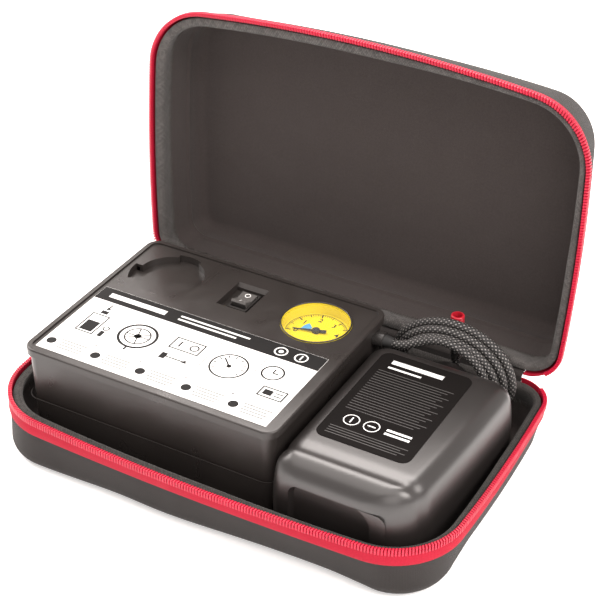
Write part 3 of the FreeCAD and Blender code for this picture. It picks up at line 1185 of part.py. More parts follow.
def air_hose():
    ex = V(1, 0, 0)
    stations = hose_stations()
    edges = []
    for (p0, t0), (p1, t1) in zip(stations, stations[1:]):
        straight = (p1 - p0).normalize().dot(t0) > 1 - 1e-9
        edges += [Part.LineSegment(p0, p1).toShape()] if straight else biarc(p0, t0, p1, t1)
    path = Part.Wire(edges)
    hose = sweep(path, HOSE_R)
    print("hose length %.0f, volume over section times length %.4f, least gap %.2f" % (
        path.Length, hose.Volume / (math.pi * HOSE_R ** 2 * path.Length), least_gap(path)))
    save("air_hose", hose)
    face = V(NUT_X, OUTLET_Y, OUTLET_Z)
    save("hose_nut", ring(NUT_R, PIPE_R - PIPE_WALL, face, ex, NUT_L))
    boot = Part.makeCone(NUT_R - BOOT_STEP, HOSE_R + BOOT_LIP, BOOT_L, face + ex * NUT_L, ex)
    save("hose_boot", boot.cut(rod(PIPE_R - PIPE_WALL, face + ex * NUT_L, ex, BOOT_L)))
    end, way = stations[-1]
    bore_r = HOSE_R - HOSE_WALL
    save("chuck_ferrule", ring(FERRULE_R, bore_r, end, way, FERRULE_L))
    base = end + way * FERRULE_L
    body = rod(CHUCK_R, base, way, CHUCK_L)
    body = body.makeFillet(CHUCK_EDGE_R, [e for e in body.Edges if e.Curve.TypeId == "Part::GeomCircle"])
    waist = ring(2 * CHUCK_R, CHUCK_R - CHUCK_WAIST_DEPTH, base + way * CHUCK_WAIST_FROM, way, CHUCK_WAIST_L)
    body = body.cut(waist).cut(rod(bore_r, base, way, CHUCK_L))
    mouth = base + way * (CHUCK_L - CHUCK_BORE_L)
    body = body.cut(rod(CHUCK_BORE_R, mouth, way, CHUCK_BORE_L))
    seal_base = mouth - way * CHUCK_SEAL_T
    body = body.cut(rod(CHUCK_BORE_R + CHUCK_GROOVE, seal_base, way, CHUCK_SEAL_T))
    save("valve_chuck", body)
    save("chuck_seal", ring(CHUCK_BORE_R + CHUCK_GROOVE, bore_r, seal_base, way, CHUCK_SEAL_T))


os.makedirs("parts", exist_ok=True)
case()
zip_slider()
housing_tub()
top_cover()
housing_trim()
switch()
gauge()
air_pump()
inner_wires()
bottle()
air_hose()
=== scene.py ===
import bpy
import bmesh
import json
import random
from itertools import accumulate
from math import atan, atan2, cos, exp, hypot, pi, radians, sin, sqrt, tan
from mathutils import Matrix, Vector


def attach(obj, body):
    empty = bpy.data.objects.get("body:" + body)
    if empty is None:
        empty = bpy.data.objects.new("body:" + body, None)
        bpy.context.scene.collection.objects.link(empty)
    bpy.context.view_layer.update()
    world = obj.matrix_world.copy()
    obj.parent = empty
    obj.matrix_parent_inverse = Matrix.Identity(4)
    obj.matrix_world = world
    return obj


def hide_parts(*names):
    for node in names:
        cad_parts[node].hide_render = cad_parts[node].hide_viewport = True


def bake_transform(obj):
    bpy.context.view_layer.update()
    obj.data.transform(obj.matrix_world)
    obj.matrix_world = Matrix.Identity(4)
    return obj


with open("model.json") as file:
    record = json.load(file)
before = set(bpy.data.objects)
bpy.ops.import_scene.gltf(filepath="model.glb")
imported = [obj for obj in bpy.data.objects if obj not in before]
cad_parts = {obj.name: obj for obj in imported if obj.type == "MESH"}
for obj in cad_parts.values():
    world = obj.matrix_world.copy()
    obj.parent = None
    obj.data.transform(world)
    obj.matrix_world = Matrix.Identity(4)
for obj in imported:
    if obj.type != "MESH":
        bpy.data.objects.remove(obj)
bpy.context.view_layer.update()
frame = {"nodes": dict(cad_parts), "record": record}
nodes = frame["nodes"]
print("frame in:", len(nodes), "nodes")


# working by hand: add, select, edit, finish
def linked(name, data):
    obj = bpy.data.objects.new(name, data)
    bpy.context.scene.collection.objects.link(obj)
    return obj


def pickOnly(obj):
    bpy.ops.object.select_all(action="DESELECT")
    obj.select_set(True)
    bpy.context.view_layer.objects.active = obj


def addShape(operator, name="", **settings):
    bpy.ops.object.select_all(action="DESELECT")
    operator(**settings)
    obj = bpy.context.object
    if name:
        obj.name = obj.data.name = name
    return obj


def applyPlace():
    bpy.ops.object.transform_apply(location=True, rotation=True, scale=True)


def editAll(*steps):
    bpy.ops.object.mode_set(mode="EDIT")
    bpy.ops.mesh.select_all(action="SELECT")
    for operator, settings in steps:
        operator(**settings)
    bpy.ops.object.mode_set(mode="OBJECT")


def finishWith(obj, kind, **settings):
    modifier = obj.modifiers.new(kind.title(), kind)
    for key, value in settings.items():
        setattr(modifier, key, value)
    pickOnly(obj)
    bpy.ops.object.modifier_apply(modifier=modifier.name)


def smooth(obj, degrees):
    pickOnly(obj)
    bpy.ops.object.shade_smooth_by_angle(angle=radians(degrees))


def placeIn(obj, matrix):
    pickOnly(obj)
    obj.matrix_world = matrix
    applyPlace()


def dress(obj, body):
    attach(obj, body)
    return obj


def faceOut(obj, inward=False):
    faces = obj.data.polygons
    total = sum(p.area for p in faces)
    middle = sum((p.center * p.area for p in faces), Vector()) / total
    away = sum((p.center - middle).dot(p.normal) * p.area for p in faces)
    if (away < 0) != inward:
        obj.data.flip_normals()


def ease(share):
    return share * share * (3 - 2 * share)


def runLength(path):
    return sum((Vector(b) - Vector(a)).length for a, b in zip(path, path[1:]))


def arcPoints(cx, cy, radius, start, end, count):
    angles = [start + (end - start) * k / count for k in range(count)]
    return [(cx + radius * cos(a), cy + radius * sin(a)) for a in angles]


def curveThrough(name, points, kind):
    data = bpy.data.curves.new(name, "CURVE")
    data.dimensions = "3D"
    spline = data.splines.new(kind)
    spline.points.add(len(points) - 1)
    for point, place in zip(spline.points, points):
        point.co = (*place, 1)
    return linked(name, data), spline


# camera at the photograph's place
photoView = {"azimuth": 29.037, "elevation": 33.605, "roll": 0.449, "lens": 98.355,
             "sensor": 36, "place": (0.4101, -0.7012, 0.6510)}


def setCamera():
    azimuth, elevation, roll = (radians(photoView[k]) for k in ("azimuth", "elevation", "roll"))
    flat = cos(elevation)
    forward = Vector((-sin(azimuth) * flat, cos(azimuth) * flat, -sin(elevation)))
    right = forward.cross(Vector((0, 0, 1))).normalized()
    up = right.cross(forward)
    rolledRight = cos(roll) * right + sin(roll) * up
    rolledUp = cos(roll) * up - sin(roll) * right
    turn = Matrix((rolledRight, rolledUp, -forward)).transposed().to_4x4()
    camera = linked("photoCamera", bpy.data.cameras.new("photoCamera"))
    camera.data.lens = photoView["lens"]
    camera.data.sensor_width = photoView["sensor"]
    camera.matrix_world = Matrix.Translation(photoView["place"]) @ turn
    bpy.context.scene.camera = camera


setCamera()
print("camera set")


# shared shader groups
def groupNode(tree, kind, links=(), **values):
    node = tree.nodes.new("ShaderNode" + kind)
    for key, value in values.items():
        setattr(node, key, value)
    for socket, source in links:
        if isinstance(source, bpy.types.NodeSocket):
            tree.links.new(source, node.inputs[socket])
        else:
            node.inputs[socket].default_value = source
    return node


def calc(tree, operation, *values):
    return groupNode(tree, "Math", enumerate(values), operation=operation).outputs[0]


def newGroup(name, inputs, outputs):
    tree = bpy.data.node_groups.new(name, "ShaderNodeTree")
    for label, kind, value in inputs:
        socket = tree.interface.new_socket(label, in_out="INPUT", socket_type=kind)
        if value is not None:
            socket.default_value = value
    for label in outputs:
        tree.interface.new_socket(label, in_out="OUTPUT", socket_type="NodeSocketFloat")
    return tree, tree.nodes.new("NodeGroupInput").outputs, tree.nodes.new("NodeGroupOutput").inputs


weaveCrown = 0.45  # how far a thread rises between its crossings


def makePlainWeave():
    labels = ("Across", "Along")
    inputs = [(n, "NodeSocketFloat", 0.0) for n in labels]
    tree, given, out = newGroup("plainWeave", inputs, ("Height", "Tone"))
    cells = [calc(tree, "FLOOR", given[n]) for n in labels]
    parts = [calc(tree, "FRACT", given[n]) for n in labels]
    waves = [calc(tree, "SINE", calc(tree, "MULTIPLY", p, pi)) for p in parts]
    over = calc(tree, "FLOORED_MODULO", calc(tree, "ADD", *cells), 2.0)
    lifts = [calc(tree, "MULTIPLY", near, calc(tree, "MULTIPLY_ADD", far, weaveCrown, 1 - weaveCrown))
             for near, far in (waves, waves[::-1])]
    height, pick = (groupNode(tree, "Mix", ((0, over), (2, first), (3, second))).outputs[0]
                    for first, second in (lifts, cells))
    tree.links.new(height, out["Height"])
    thread = groupNode(tree, "CombineXYZ", ((0, pick), (1, over))).outputs[0]
    tone = groupNode(tree, "TexWhiteNoise", (("Vector", thread),), noise_dimensions="2D")
    tree.links.new(tone.outputs["Value"], out["Tone"])
    return tree


def makeFineGrain():
    inputs = (("Vector", "NodeSocketVector", None), ("Scale", "NodeSocketFloat", 900.0),
              ("Broad", "NodeSocketFloat", 14.0))
    layers = (("Height", "Scale", (("Detail", 2.0),)),
              ("Mottle", "Broad", (("Detail", 4.0), ("Roughness", 0.6))),
              ("Smudge", "Broad", (("Detail", 1.0), ("Distortion", 1.4))))
    tree, given, out = newGroup("fineGrain", inputs, [layer[0] for layer in layers])
    for label, size, settings in layers:
        links = (("Vector", given["Vector"]), ("Scale", given[size])) + settings
        noise = groupNode(tree, "TexNoise", links)
        tree.links.new(noise.outputs[0], out[label])
    return tree


plainWeave = makePlainWeave()
fineGrain = makeFineGrain()


def startMaterial(name, metallic=0.0, **sockets):
    mat = bpy.data.materials.new(name)
    mat.use_nodes = True
    shader = mat.node_tree.nodes["Principled BSDF"]
    shader.inputs["Metallic"].default_value = metallic
    for label, value in sockets.items():
        shader.inputs[label.replace("_", " ")].default_value = value
    return mat, mat.node_tree, shader


def shade(colour, factor):
    return tuple(min(1.0, c * factor) for c in colour) + (1.0,)


def addWeave(tree, across, along):
    links = (("Across", across), ("Along", along))
    return groupNode(tree, "Group", links, node_tree=plainWeave).outputs


def addGrain(tree, scale, broad):
    spot = tree.nodes.new("ShaderNodeTexCoord").outputs["Object"]
    links = (("Vector", spot), ("Scale", scale), ("Broad", broad))
    return groupNode(tree, "Group", links, node_tree=fineGrain).outputs


def addRange(tree, source, low, high, fromLow=0.3, fromHigh=0.7):
    links = (("Value", source), ("From Min", fromLow), ("From Max", fromHigh), ("To Min", low),
             ("To Max", high))
    return groupNode(tree, "MapRange", links).outputs[0]


def setTint(tree, shader, factor, low, high):
    links = (("Factor", factor), (6, low), (7, high))
    mix = groupNode(tree, "Mix", links, data_type="RGBA")
    tree.links.new(mix.outputs[2], shader.inputs["Base Color"])


def setRough(tree, shader, source, low, high):
    tree.links.new(addRange(tree, source, low, high), shader.inputs["Roughness"])


def setBump(tree, shader, height, depth):
    bump = groupNode(tree, "Bump", (("Height", height), ("Distance", depth)))
    tree.links.new(bump.outputs[0], shader.inputs["Normal"])


def mouldedPlastic(name, colour, rough=0.42, grain=1500.0, depth=0.00003, spread=0.12, metallic=0.0,
                   wander=0.06, **sockets):
    mat, tree, shader = startMaterial(name, metallic, **sockets)
    grainOut = addGrain(tree, grain, 22.0)
    mottle = addRange(tree, grainOut["Mottle"], 0.0, 1.0)
    setTint(tree, shader, mottle, shade(colour, 1 - spread), shade(colour, 1 + spread))
    setRough(tree, shader, grainOut["Smudge"], rough - wander, rough + wander)
    setBump(tree, shader, grainOut["Height"], depth)
    return mat


def workedMetal(name, colour, rough):
    return mouldedPlastic(name, colour, rough, 2600.0, 0.00001, 0.08, 1.0)


def printedFilm(name, colour, rough=0.6, **settings):
    return mouldedPlastic(name, colour, rough, 900.0, 0.00001, **settings)


def clothPlaces(tree):
    return groupNode(tree, "UVMap", uv_map="cloth").outputs[0]


def wovenCloth(name, colour, threads, depth, spread, rough, sheen, slant=0.0, fibre=(0.06, 0.6)):
    mat, tree, shader = startMaterial(name, Sheen_Weight=sheen, Sheen_Roughness=0.5, Specular_IOR_Level=0.2)
    links = (("Vector", clothPlaces(tree)), ("Rotation", (0, 0, radians(slant))),
             ("Scale", (threads, threads, 1)))
    turned = groupNode(tree, "Mapping", links).outputs[0]
    split = groupNode(tree, "SeparateXYZ", ((0, turned),)).outputs
    weave = addWeave(tree, split[0], split[1])
    grainOut = addGrain(tree, 900.0, 26.0)
    # the weave height lightens the thread crowns and darkens the dips between threads: painted highlight and
    # painted shade; the thread tone, mottle and fibre noise are the cloth's own
    mix = calc(tree, "MULTIPLY", weave["Tone"], fibre[0])
    shares = ((weave["Height"], 0.3), (grainOut["Mottle"], 0.18), (grainOut["Height"], fibre[1]))
    for source, share in shares:
        mix = calc(tree, "ADD", mix, calc(tree, "MULTIPLY", source, share))
    tone = addRange(tree, mix, 0.0, 1.0, 0.25, 0.95)
    setTint(tree, shader, tone, shade(colour, 1 - spread), shade(colour, 1 + spread))
    setRough(tree, shader, grainOut["Smudge"], rough - 0.05, rough + 0.06)
    setBump(tree, shader, weave["Height"], depth)
    return mat


def bindingCloth(name, colour):
    return wovenCloth(name, colour, 820.0, 0.00025, 0.65, 0.85, 0.1, slant=45.0, fibre=(0.3, 0.3))


def clearLens(name):
    mat, tree, shader = startMaterial(name, Alpha=0.02, IOR=1.45)
    grainOut = addGrain(tree, 300.0, 30.0)
    setRough(tree, shader, grainOut["Smudge"], 0.04, 0.1)
    setTint(tree, shader, grainOut["Mottle"], (0.8, 0.83, 0.85, 1), (0.95, 0.97, 1, 1))
    return mat


# hose: one smooth line, from the nut round the coil to the chuck
hose = {"radius": 0.0028, "start": (0.05589, 0.057, 0.0645), "centreX": 0.0889, "centreZ": 0.046,
        "coilRadius": 0.0286, "growth": 0.0038, "firstY": 0.0609, "pitch": 0.0043, "turns": 3,
        "from": -30, "step": 15, "tailFrom": 90, "tailTo": 270, "tailRadius": 0.0208, "tailBack": 0.0072,
        "tailSteps": 10, "tailBackBy": 7, "length": 0.817, "strands": 12, "lay": 0.019, "round": 48,
        "spacing": 0.0006, "knuckle": 0.0002, "settle": 0.14, "settleBy": 200}


def braidedHose(name):
    mat, tree, shader = startMaterial(name, Roughness=0.42)
    split = groupNode(tree, "SeparateXYZ", ((0, clothPlaces(tree)),)).outputs
    along = calc(tree, "MULTIPLY", split[0], hose["strands"] / hose["lay"])
    around = calc(tree, "MULTIPLY", split[1], hose["strands"] / (2 * pi * hose["radius"]))
    across = [calc(tree, kind, around, along) for kind in ("ADD", "SUBTRACT")]
    weave = addWeave(tree, *across)
    cells = [calc(tree, "FLOOR", a) for a in across]
    over = calc(tree, "FLOORED_MODULO", calc(tree, "ADD", *cells), 2.0)
    # light dashes on every second strand where it lies on top, brightest on the thread crowns and dark in the
    # dips: painted highlight and painted shade
    marked = calc(tree, "LESS_THAN", calc(tree, "FLOORED_MODULO", cells[0], 2.0), 0.5)
    dashesWithCrownHighlight = calc(tree, "MULTIPLY", marked, calc(tree, "SUBTRACT", 1.0, over))
    dashesWithCrownHighlight = calc(tree, "MULTIPLY", dashesWithCrownHighlight, weave["Height"])
    setTint(tree, shader, dashesWithCrownHighlight, (0.006, 0.0054, 0.0052, 1), (0.3, 0.285, 0.275, 1))
    setBump(tree, shader, weave["Height"], 0.0002)
    return mat


# one finish for each material slot of the record
finish = {
    "case_fabric": wovenCloth("caseFabric", (0.022, 0.019, 0.018), 1400.0, 0.00012, 0.2, 0.9, 0.08),
    "binding": bindingCloth("bindingWeave", (0.08, 0.075, 0.072)),
    "zip_tape": wovenCloth("zipTape", (0.36, 0.006, 0.024), 1100.0, 0.0001, 0.14, 0.7, 0.0),
    # the coil's red is lighter than the tape's: partly its own red, partly a painted highlight
    "zip_teeth": mouldedPlastic("zipCoil", (0.44, 0.01, 0.036), 0.4, Specular_IOR_Level=0.35),
    "slider_metal": workedMetal("sliderMetal", (0.32, 0.32, 0.33), 0.32),
    "housing": mouldedPlastic("housingPlastic", (0.024, 0.0205, 0.019), 0.33, 1800.0, 0.00004),
    "rubber_black": mouldedPlastic("blackRubber", (0.015, 0.015, 0.015), 0.7),
    "steel": workedMetal("steel", (0.56, 0.56, 0.55), 0.3),
    "sheet_white": mouldedPlastic("sheetPaper", (0.8, 0.8, 0.79), 0.45, 700.0, 0.00001, 0.02),
    "switch_black": mouldedPlastic("switchPlastic", (0.026, 0.024, 0.023), 0.28),
    "brass": workedMetal("brass", (0.72, 0.52, 0.2), 0.28),
    "gauge_yellow": printedFilm("gaugeYellow", (0.66, 0.53, 0.002), spread=0.05, Specular_IOR_Level=0.15),
    "needle_black": mouldedPlastic("needleBlack", (0.012, 0.012, 0.012), 0.45),
    "magnet": mouldedPlastic("magnetFerrite", (0.08, 0.08, 0.08), 0.6),
    "aluminium": workedMetal("castAluminium", (0.68, 0.69, 0.7), 0.38),
    "wire_red": mouldedPlastic("wireRed", (0.5, 0.03, 0.03), 0.45),
    "bottle_black": mouldedPlastic("bottlePlastic", (0.015, 0.0128, 0.0122), 0.34, 2200.0, 0.000003, 0.05,
                                   wander=0.012, Specular_IOR_Level=0.85),
    "sealant": mouldedPlastic("sealant", (0.75, 0.74, 0.68), 0.2),
    "cap_grey": mouldedPlastic("capPlastic", (0.045, 0.044, 0.043), 0.4),
    "label_black": printedFilm("labelFilm", (0.006, 0.005, 0.0047), 0.75, Specular_IOR_Level=0.06),
    "hose_braid": braidedHose("hoseBraid"),
    "chuck_red": mouldedPlastic("chuckRed", (0.45, 0.012, 0.026), 0.32),
    "gear_white": mouldedPlastic("gearWhite", (0.8, 0.8, 0.77), 0.45),
    "clear_lens": clearLens("clearLens"),
}
caseLining = wovenCloth("caseLining", (0.05, 0.041, 0.039), 1500.0, 0.0001, 0.25, 0.9, 0.1)
# the base's binding is a darker copy of the lid's binding: painted shade for the shaded base rim
baseBindingWeave = bindingCloth("baseBindingWeave", (0.034, 0.031, 0.029))
stitchThread = mouldedPlastic("stitchThread", (0.06, 0.054, 0.05), 0.8)
# the rocker is mid grey, lighter than the black switch plastic: a painted highlight for its lit front face
rockerPlastic = mouldedPlastic("rockerPlastic", (0.085, 0.081, 0.078), 0.3)
beadPlastic = mouldedPlastic("beadPlastic", (0.017, 0.0145, 0.0135), 0.75, Specular_IOR_Level=0.15)
printBlack = printedFilm("printBlack", (0.009, 0.0085, 0.0085), Specular_IOR_Level=0.15)
printGrey = printedFilm("printGrey", (0.13, 0.13, 0.135))
printDim = printedFilm("printDim", (0.05, 0.047, 0.046))
printWhite = printedFilm("printWhite", (0.72, 0.72, 0.71), 0.5, spread=0.03)
printBlue = printedFilm("printBlue", (0.05, 0.27, 0.5), 0.5)
printRed = printedFilm("printRed", (0.5, 0.02, 0.02), 0.5)

for part in frame["record"]["subparts"]:
    for holder in nodes[part["node"]].material_slots:
        holder.material = finish[part["material_slot"]]
# the rocker takes the lighter grey, a painted highlight
nodes["rocker"].material_slots[0].material = rockerPlastic
print("finishes on the carried-over nodes")


def coilPoint(degrees):
    turn = degrees / 360
    radius = hose["coilRadius"] + hose["growth"] * turn
    angle = radians(degrees)
    lift = radius * cos(angle)
    if lift > 0:  # the upper loops settle a little under their own weight
        lift *= 1 - hose["settle"] * min(1.0, max(0.0, degrees / hose["settleBy"]))
    return Vector((hose["centreX"] + radius * sin(angle), hose["firstY"] + hose["pitch"] * turn,
                   hose["centreZ"] + lift))


def hoseRoute():
    start = Vector(hose["start"])
    ahead = 2 * hose["radius"]
    last = 360 * hose["turns"] + hose["tailFrom"]
    route = [start, start + Vector((ahead, 0, 0))]
    route += [coilPoint(d) for d in range(hose["from"], last, hose["step"])]
    end = coilPoint(last)
    heading = coilPoint(last + 0.1) - coilPoint(last - 0.1)
    flat = Vector((heading.x, 0, heading.z)).normalized()
    side = Vector((flat.z, 0, -flat.x))
    tailY = coilPoint(360 * hose["turns"]).y + hose["tailBack"]
    sweep = radians(hose["tailTo"] - hose["tailFrom"])
    route.append(end)
    for k in range(1, hose["tailSteps"] + 1):
        turned = sweep * k / hose["tailSteps"]
        arm = side * (1 - cos(turned)) + flat * sin(turned)
        point = end + arm * hose["tailRadius"]
        point.y = end.y + (tailY - end.y) * min(1.0, k / hose["tailBackBy"])
        route.append(point)
    way = flat * cos(sweep) + side * sin(sweep)
    route.append(route[-1] + way * ahead)
    return route


def evenPath(curve, spacing):
    line = bpy.data.meshes.new_from_object(curve)
    raw = [v.co.copy() for v in line.vertices]
    path = [raw[0]]
    left = spacing
    for a, b in zip(raw, raw[1:]):
        run = (b - a).length
        done = 0.0
        while run - done >= left:
            done += left
            path.append(a.lerp(b, done / run))
            left = spacing
        left -= run - done
    if (raw[-1] - path[-1]).length > spacing / 4:
        path.append(raw[-1])
    return path


def carriedFrames(path):
    frames = []
    normal = Vector((0, 0, 1))
    for k in range(len(path)):
        tangent = (path[min(k + 1, len(path) - 1)] - path[max(k - 1, 0)]).normalized()
        normal = (normal - tangent * normal.dot(tangent)).normalized()
        frames.append((normal.copy(), tangent.cross(normal)))
    return frames


def weaveHeight(across, along):
    nearA, nearB = (sin(pi * (v % 1)) for v in (across, along))
    if (across // 1 + along // 1) % 2:
        nearA, nearB = nearB, nearA
    return nearA * (1 - weaveCrown + weaveCrown * nearB)


def braidRings(mesh, path):
    strands = hose["strands"]
    inner = hose["radius"] - hose["knuckle"]
    rings = []
    for k, (centre, (normal, binormal)) in enumerate(zip(path, carriedFrames(path))):
        along = k * hose["spacing"] / hose["lay"] * strands
        ring = []
        for j in range(hose["round"]):
            share = j / hose["round"]
            angle = 2 * pi * share
            lift = weaveHeight(share * strands + along, share * strands - along)
            way = normal * cos(angle) + binormal * sin(angle)
            ring.append(mesh.verts.new(centre + way * (inner + hose["knuckle"] * lift)))
        rings.append(ring)
    return rings


def makeHose():
    curve, spline = curveThrough("hoseLine", hoseRoute(), "NURBS")
    spline.order_u = 3
    spline.use_endpoint_u = True
    path = evenPath(curve, hose["spacing"])
    bpy.data.objects.remove(curve)
    mesh = bmesh.new()
    cloth = mesh.loops.layers.uv.new("cloth")
    rings = braidRings(mesh, path)
    count = hose["round"]
    girth = 2 * pi * hose["radius"]
    for k in range(len(rings) - 1):
        for j in range(count):
            corners = ((k, j), (k, j + 1), (k + 1, j + 1), (k + 1, j))
            face = mesh.faces.new([rings[row][col % count] for row, col in corners])
            for loop, (row, col) in zip(face.loops, corners):
                loop[cloth].uv = (row * hose["spacing"], col / count * girth)
    mesh.faces.new(rings[0][::-1])
    mesh.faces.new(rings[-1])
    data = bpy.data.meshes.new("airHose")
    data.materials.append(finish["hose_braid"])
    mesh.to_mesh(data)
    mesh.free()
    obj = linked("airHose", data)
    smooth(obj, 60)
    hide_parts("air_hose")
    dress(obj, "case")
    print("hose laid, length", round(runLength(path), 4), "faces", len(data.polygons))


makeHose()

# the case: moulded shells, sewn zip tapes, woven binding
caseForm = {"halfLength": 0.15305, "halfDepth": 0.097, "frontBow": 1.04, "sideBow": 1.17,
            "frontCorner": 0.044, "backCorner": 0.023, "leastCorner": 0.004, "hingeY": 0.097,
            "hingeZ": 0.040, "open": 93.5, "wall": 0.0026, "seam": 0.040, "zipBand": 0.010,
            "wallSteps": 6, "edgeSteps": 9, "weld": 0.00002}
baseShell = {"name": "caseBase", "body": "case", "node": "case_base_shell", "up": -1, "rim": 0.002,
             "floor": 0.006, "backFloor": 0.0046, "depth": 0.030, "edge": 0.010, "dome": 0.0,
             "inside": 0.006, "pad": 0.0, "sidePad": 0.0, "backPad": 0.0, "ridge": 0.0}
lidShell = {"name": "caseLid", "body": "lid", "node": "case_lid_shell", "up": 1, "rim": 0.003,
            "floor": 0.0125, "backFloor": 0.0066, "depth": 0.0446, "edge": 0.016, "dome": 0.0006,
            "inside": 0.008, "pad": 0.0055, "sidePad": -0.003, "backPad": 0.001, "ridge": 0.0014,
            "ridgeAt": 0.023, "ridgeWide": 0.0011}

# the outline's points: left back corner, left side, corner, front, corner, right side, right back corner
outlineRuns = (12, 24, 18, 44, 18, 24, 12)
leftSide, leftCorner, frontRun, rightCorner, rightSide, rightBack = accumulate(outlineRuns[:-1])
frontMiddle = (frontRun + rightCorner) // 2
hingeSteps = 30


def caseOutline(side, back):
    form = caseForm
    sideR = form["sideBow"] - side
    frontR = form["frontBow"] - side
    sideX = form["halfLength"] - side - sideR
    frontY = -form["halfDepth"] + side + frontR
    backY = form["halfDepth"] - back
    cornerR = form["frontCorner"] - side
    backR = max(form["leastCorner"], form["backCorner"] - (side + back) / 2)
    gap = hypot(sideX, frontY)
    along = ((sideR - cornerR) ** 2 - (frontR - cornerR) ** 2 + gap ** 2) / (2 * gap)
    off = sqrt((sideR - cornerR) ** 2 - along ** 2)
    ux, uy = -sideX / gap, frontY / gap
    fx, fy = sideX + ux * along + uy * off, uy * along - ux * off
    by = backY - backR
    bx = sideX + sqrt((sideR - backR) ** 2 - by ** 2)
    frontA = atan2(fy - frontY, fx)
    lowA = atan2(fy, fx - sideX)
    highA = atan2(by, bx - sideX)
    half = pi
    arcs = ((-bx, by, backR, half / 2, half - highA), (-sideX, 0, sideR, half - highA, half - lowA),
            (-fx, fy, cornerR, half - lowA, half - frontA), (0, frontY, frontR, -half - frontA, frontA),
            (fx, fy, cornerR, frontA, lowA), (sideX, 0, sideR, lowA, highA), (bx, by, backR, highA, half / 2))
    points = [p for arc, count in zip(arcs, outlineRuns) for p in arcPoints(*arc, count)] + [(bx, backY)]
    hinge = [(bx - 2 * bx * k / hingeSteps, backY) for k in range(1, hingeSteps)]
    return points, hinge


# the soft base swells at its rim and its foot stands out at the front corners: each foot row is a
# push, the point where it is greatest and its half width
swellForm = {"rim": 0.0036, "teeth": 0.0006, "front": 0.1, "right": 0.5, "power": 1.5,
             "foot": ((0.0095, 47, 20), (-0.004, 86, 16), (0.006, 107, 15))}
# the lid leans in along its front edge
pullForm = {"amount": 0.0085, "lining": 0.7,
            "marks": ((leftCorner + 6, 0.0), (frontRun + 8, 1.0), (frontMiddle, 1.0), (rightCorner + 6, 0.4),
                      (rightBack, 0.0))}


def eased(k, marks):
    for (start, low), (end, high) in zip(marks, marks[1:]):
        if start <= k < end:
            return low + (high - low) * ease((k - start) / (end - start))
    return 0.0


def swellShare(k):
    form = swellForm
    if frontRun <= k < rightCorner:
        across = 2 * (k - frontRun) / (rightCorner - frontRun) - 1
        return form["front"] + (1 - form["front"]) * across ** 2
    if k >= rightBack:
        return form["right"] * (1 - (k - rightBack) / outlineRuns[-1])
    return eased(k, ((leftSide, 0.0), (leftCorner, 1.0), (rightSide, 1.0), (rightBack, form["right"])))


def footPush(k):
    return sum(size * max(0.0, 1 - ((k - at) / wide) ** 2) ** 2 for size, at, wide in swellForm["foot"])


def pushed(path, push):
    points = []
    for k, (x, y) in enumerate(path):
        (ax, ay), (bx, by) = path[max(k - 1, 0)], path[min(k + 1, len(path) - 1)]
        share = push[k] / hypot(bx - ax, by - ay)
        points.append((x + (by - ay) * share, y - (bx - ax) * share))
    return points


def swollen(path, up, down, follow=1.0):
    form = swellForm
    band = caseForm["zipBand"]
    below = max(0.0, down - band)
    places = range(len(path))
    if up > 0:
        pull = follow * pullForm["amount"] * (below / lidShell["depth"]) ** 2
        return pushed(path, [-pull * eased(k, pullForm["marks"]) for k in places])
    low = min(1.0, below / baseShell["depth"])
    if down < band:
        amount = form["teeth"] + (form["rim"] - form["teeth"]) * max(0.0, down) / band
    else:
        amount = form["rim"] * (1 - low) ** form["power"]
    return pushed(path, [amount * swellShare(k) + low * footPush(k) for k in places])


# rings of points, drawn one after another by extruding the last
def loft(name, rings, materials, closed=True, capped=False):
    obj = addShape(bpy.ops.mesh.primitive_circle_add, name, vertices=len(rings[0]), radius=0.1,
                   fill_type="NOTHING")
    for mat in materials:
        obj.data.materials.append(mat)
    bpy.ops.object.mode_set(mode="EDIT")
    bpy.ops.mesh.select_all(action="SELECT")
    mesh = bmesh.from_edit_mesh(obj.data)
    for label in ("place", "ring"):
        mesh.verts.layers.int.new(label)
    mesh.verts.ensure_lookup_table()
    place = mesh.verts.layers.int["place"]
    for k, vert in enumerate(mesh.verts):
        vert[place] = k
        vert.co = rings[0][k]
    if not closed:
        mesh.edges.remove(mesh.edges.get((mesh.verts[0], mesh.verts[len(rings[0]) - 1])))
    bmesh.update_edit_mesh(obj.data)
    for number, ring in enumerate(rings[1:], 1):
        bpy.ops.mesh.extrude_region()
        mesh = bmesh.from_edit_mesh(obj.data)
        place, ringNo = (mesh.verts.layers.int[n] for n in ("place", "ring"))
        for vert in mesh.verts:
            if vert.select:
                vert.co = ring[vert[place]]
                vert[ringNo] = number
        bmesh.update_edit_mesh(obj.data)
    if capped:
        bpy.ops.mesh.merge(type="CENTER")
    bpy.ops.object.mode_set(mode="OBJECT")
    return obj


def stripUv(obj, rings, closed=True):
    first = rings[0] + rings[0][:1] if closed else rings[0]
    middle = len(rings[0]) // 2
    along, across = ([0.0, *accumulate((Vector(b) - Vector(a)).length for a, b in zip(line, line[1:]))]
                     for line in (first, [ring[middle] for ring in rings]))
    places, ringNos = (obj.data.attributes[n].data for n in ("place", "ring"))
    cloth = obj.data.uv_layers.new(name="cloth")
    for face in obj.data.polygons:
        columns = [places[v].value for v in face.vertices]
        wraps = max(columns) - min(columns) > len(rings[0]) / 2
        for loop, vert in zip(face.loop_indices, face.vertices):
            column = places[vert].value
            u = along[-1] if wraps and column == 0 else along[column]
            cloth.data[loop].uv = (u, across[ringNos[vert].value])


def boxUv(obj):
    cloth = obj.data.uv_layers.new(name="cloth")
    for face in obj.data.polygons:
        axis = max(range(3), key=lambda k: abs(face.normal[k]))
        keep = [k for k in range(3) if k != axis]
        for loop, vert in zip(face.loop_indices, face.vertices):
            co = obj.data.vertices[vert].co
            cloth.data[loop].uv = (co[keep[0]], co[keep[1]])


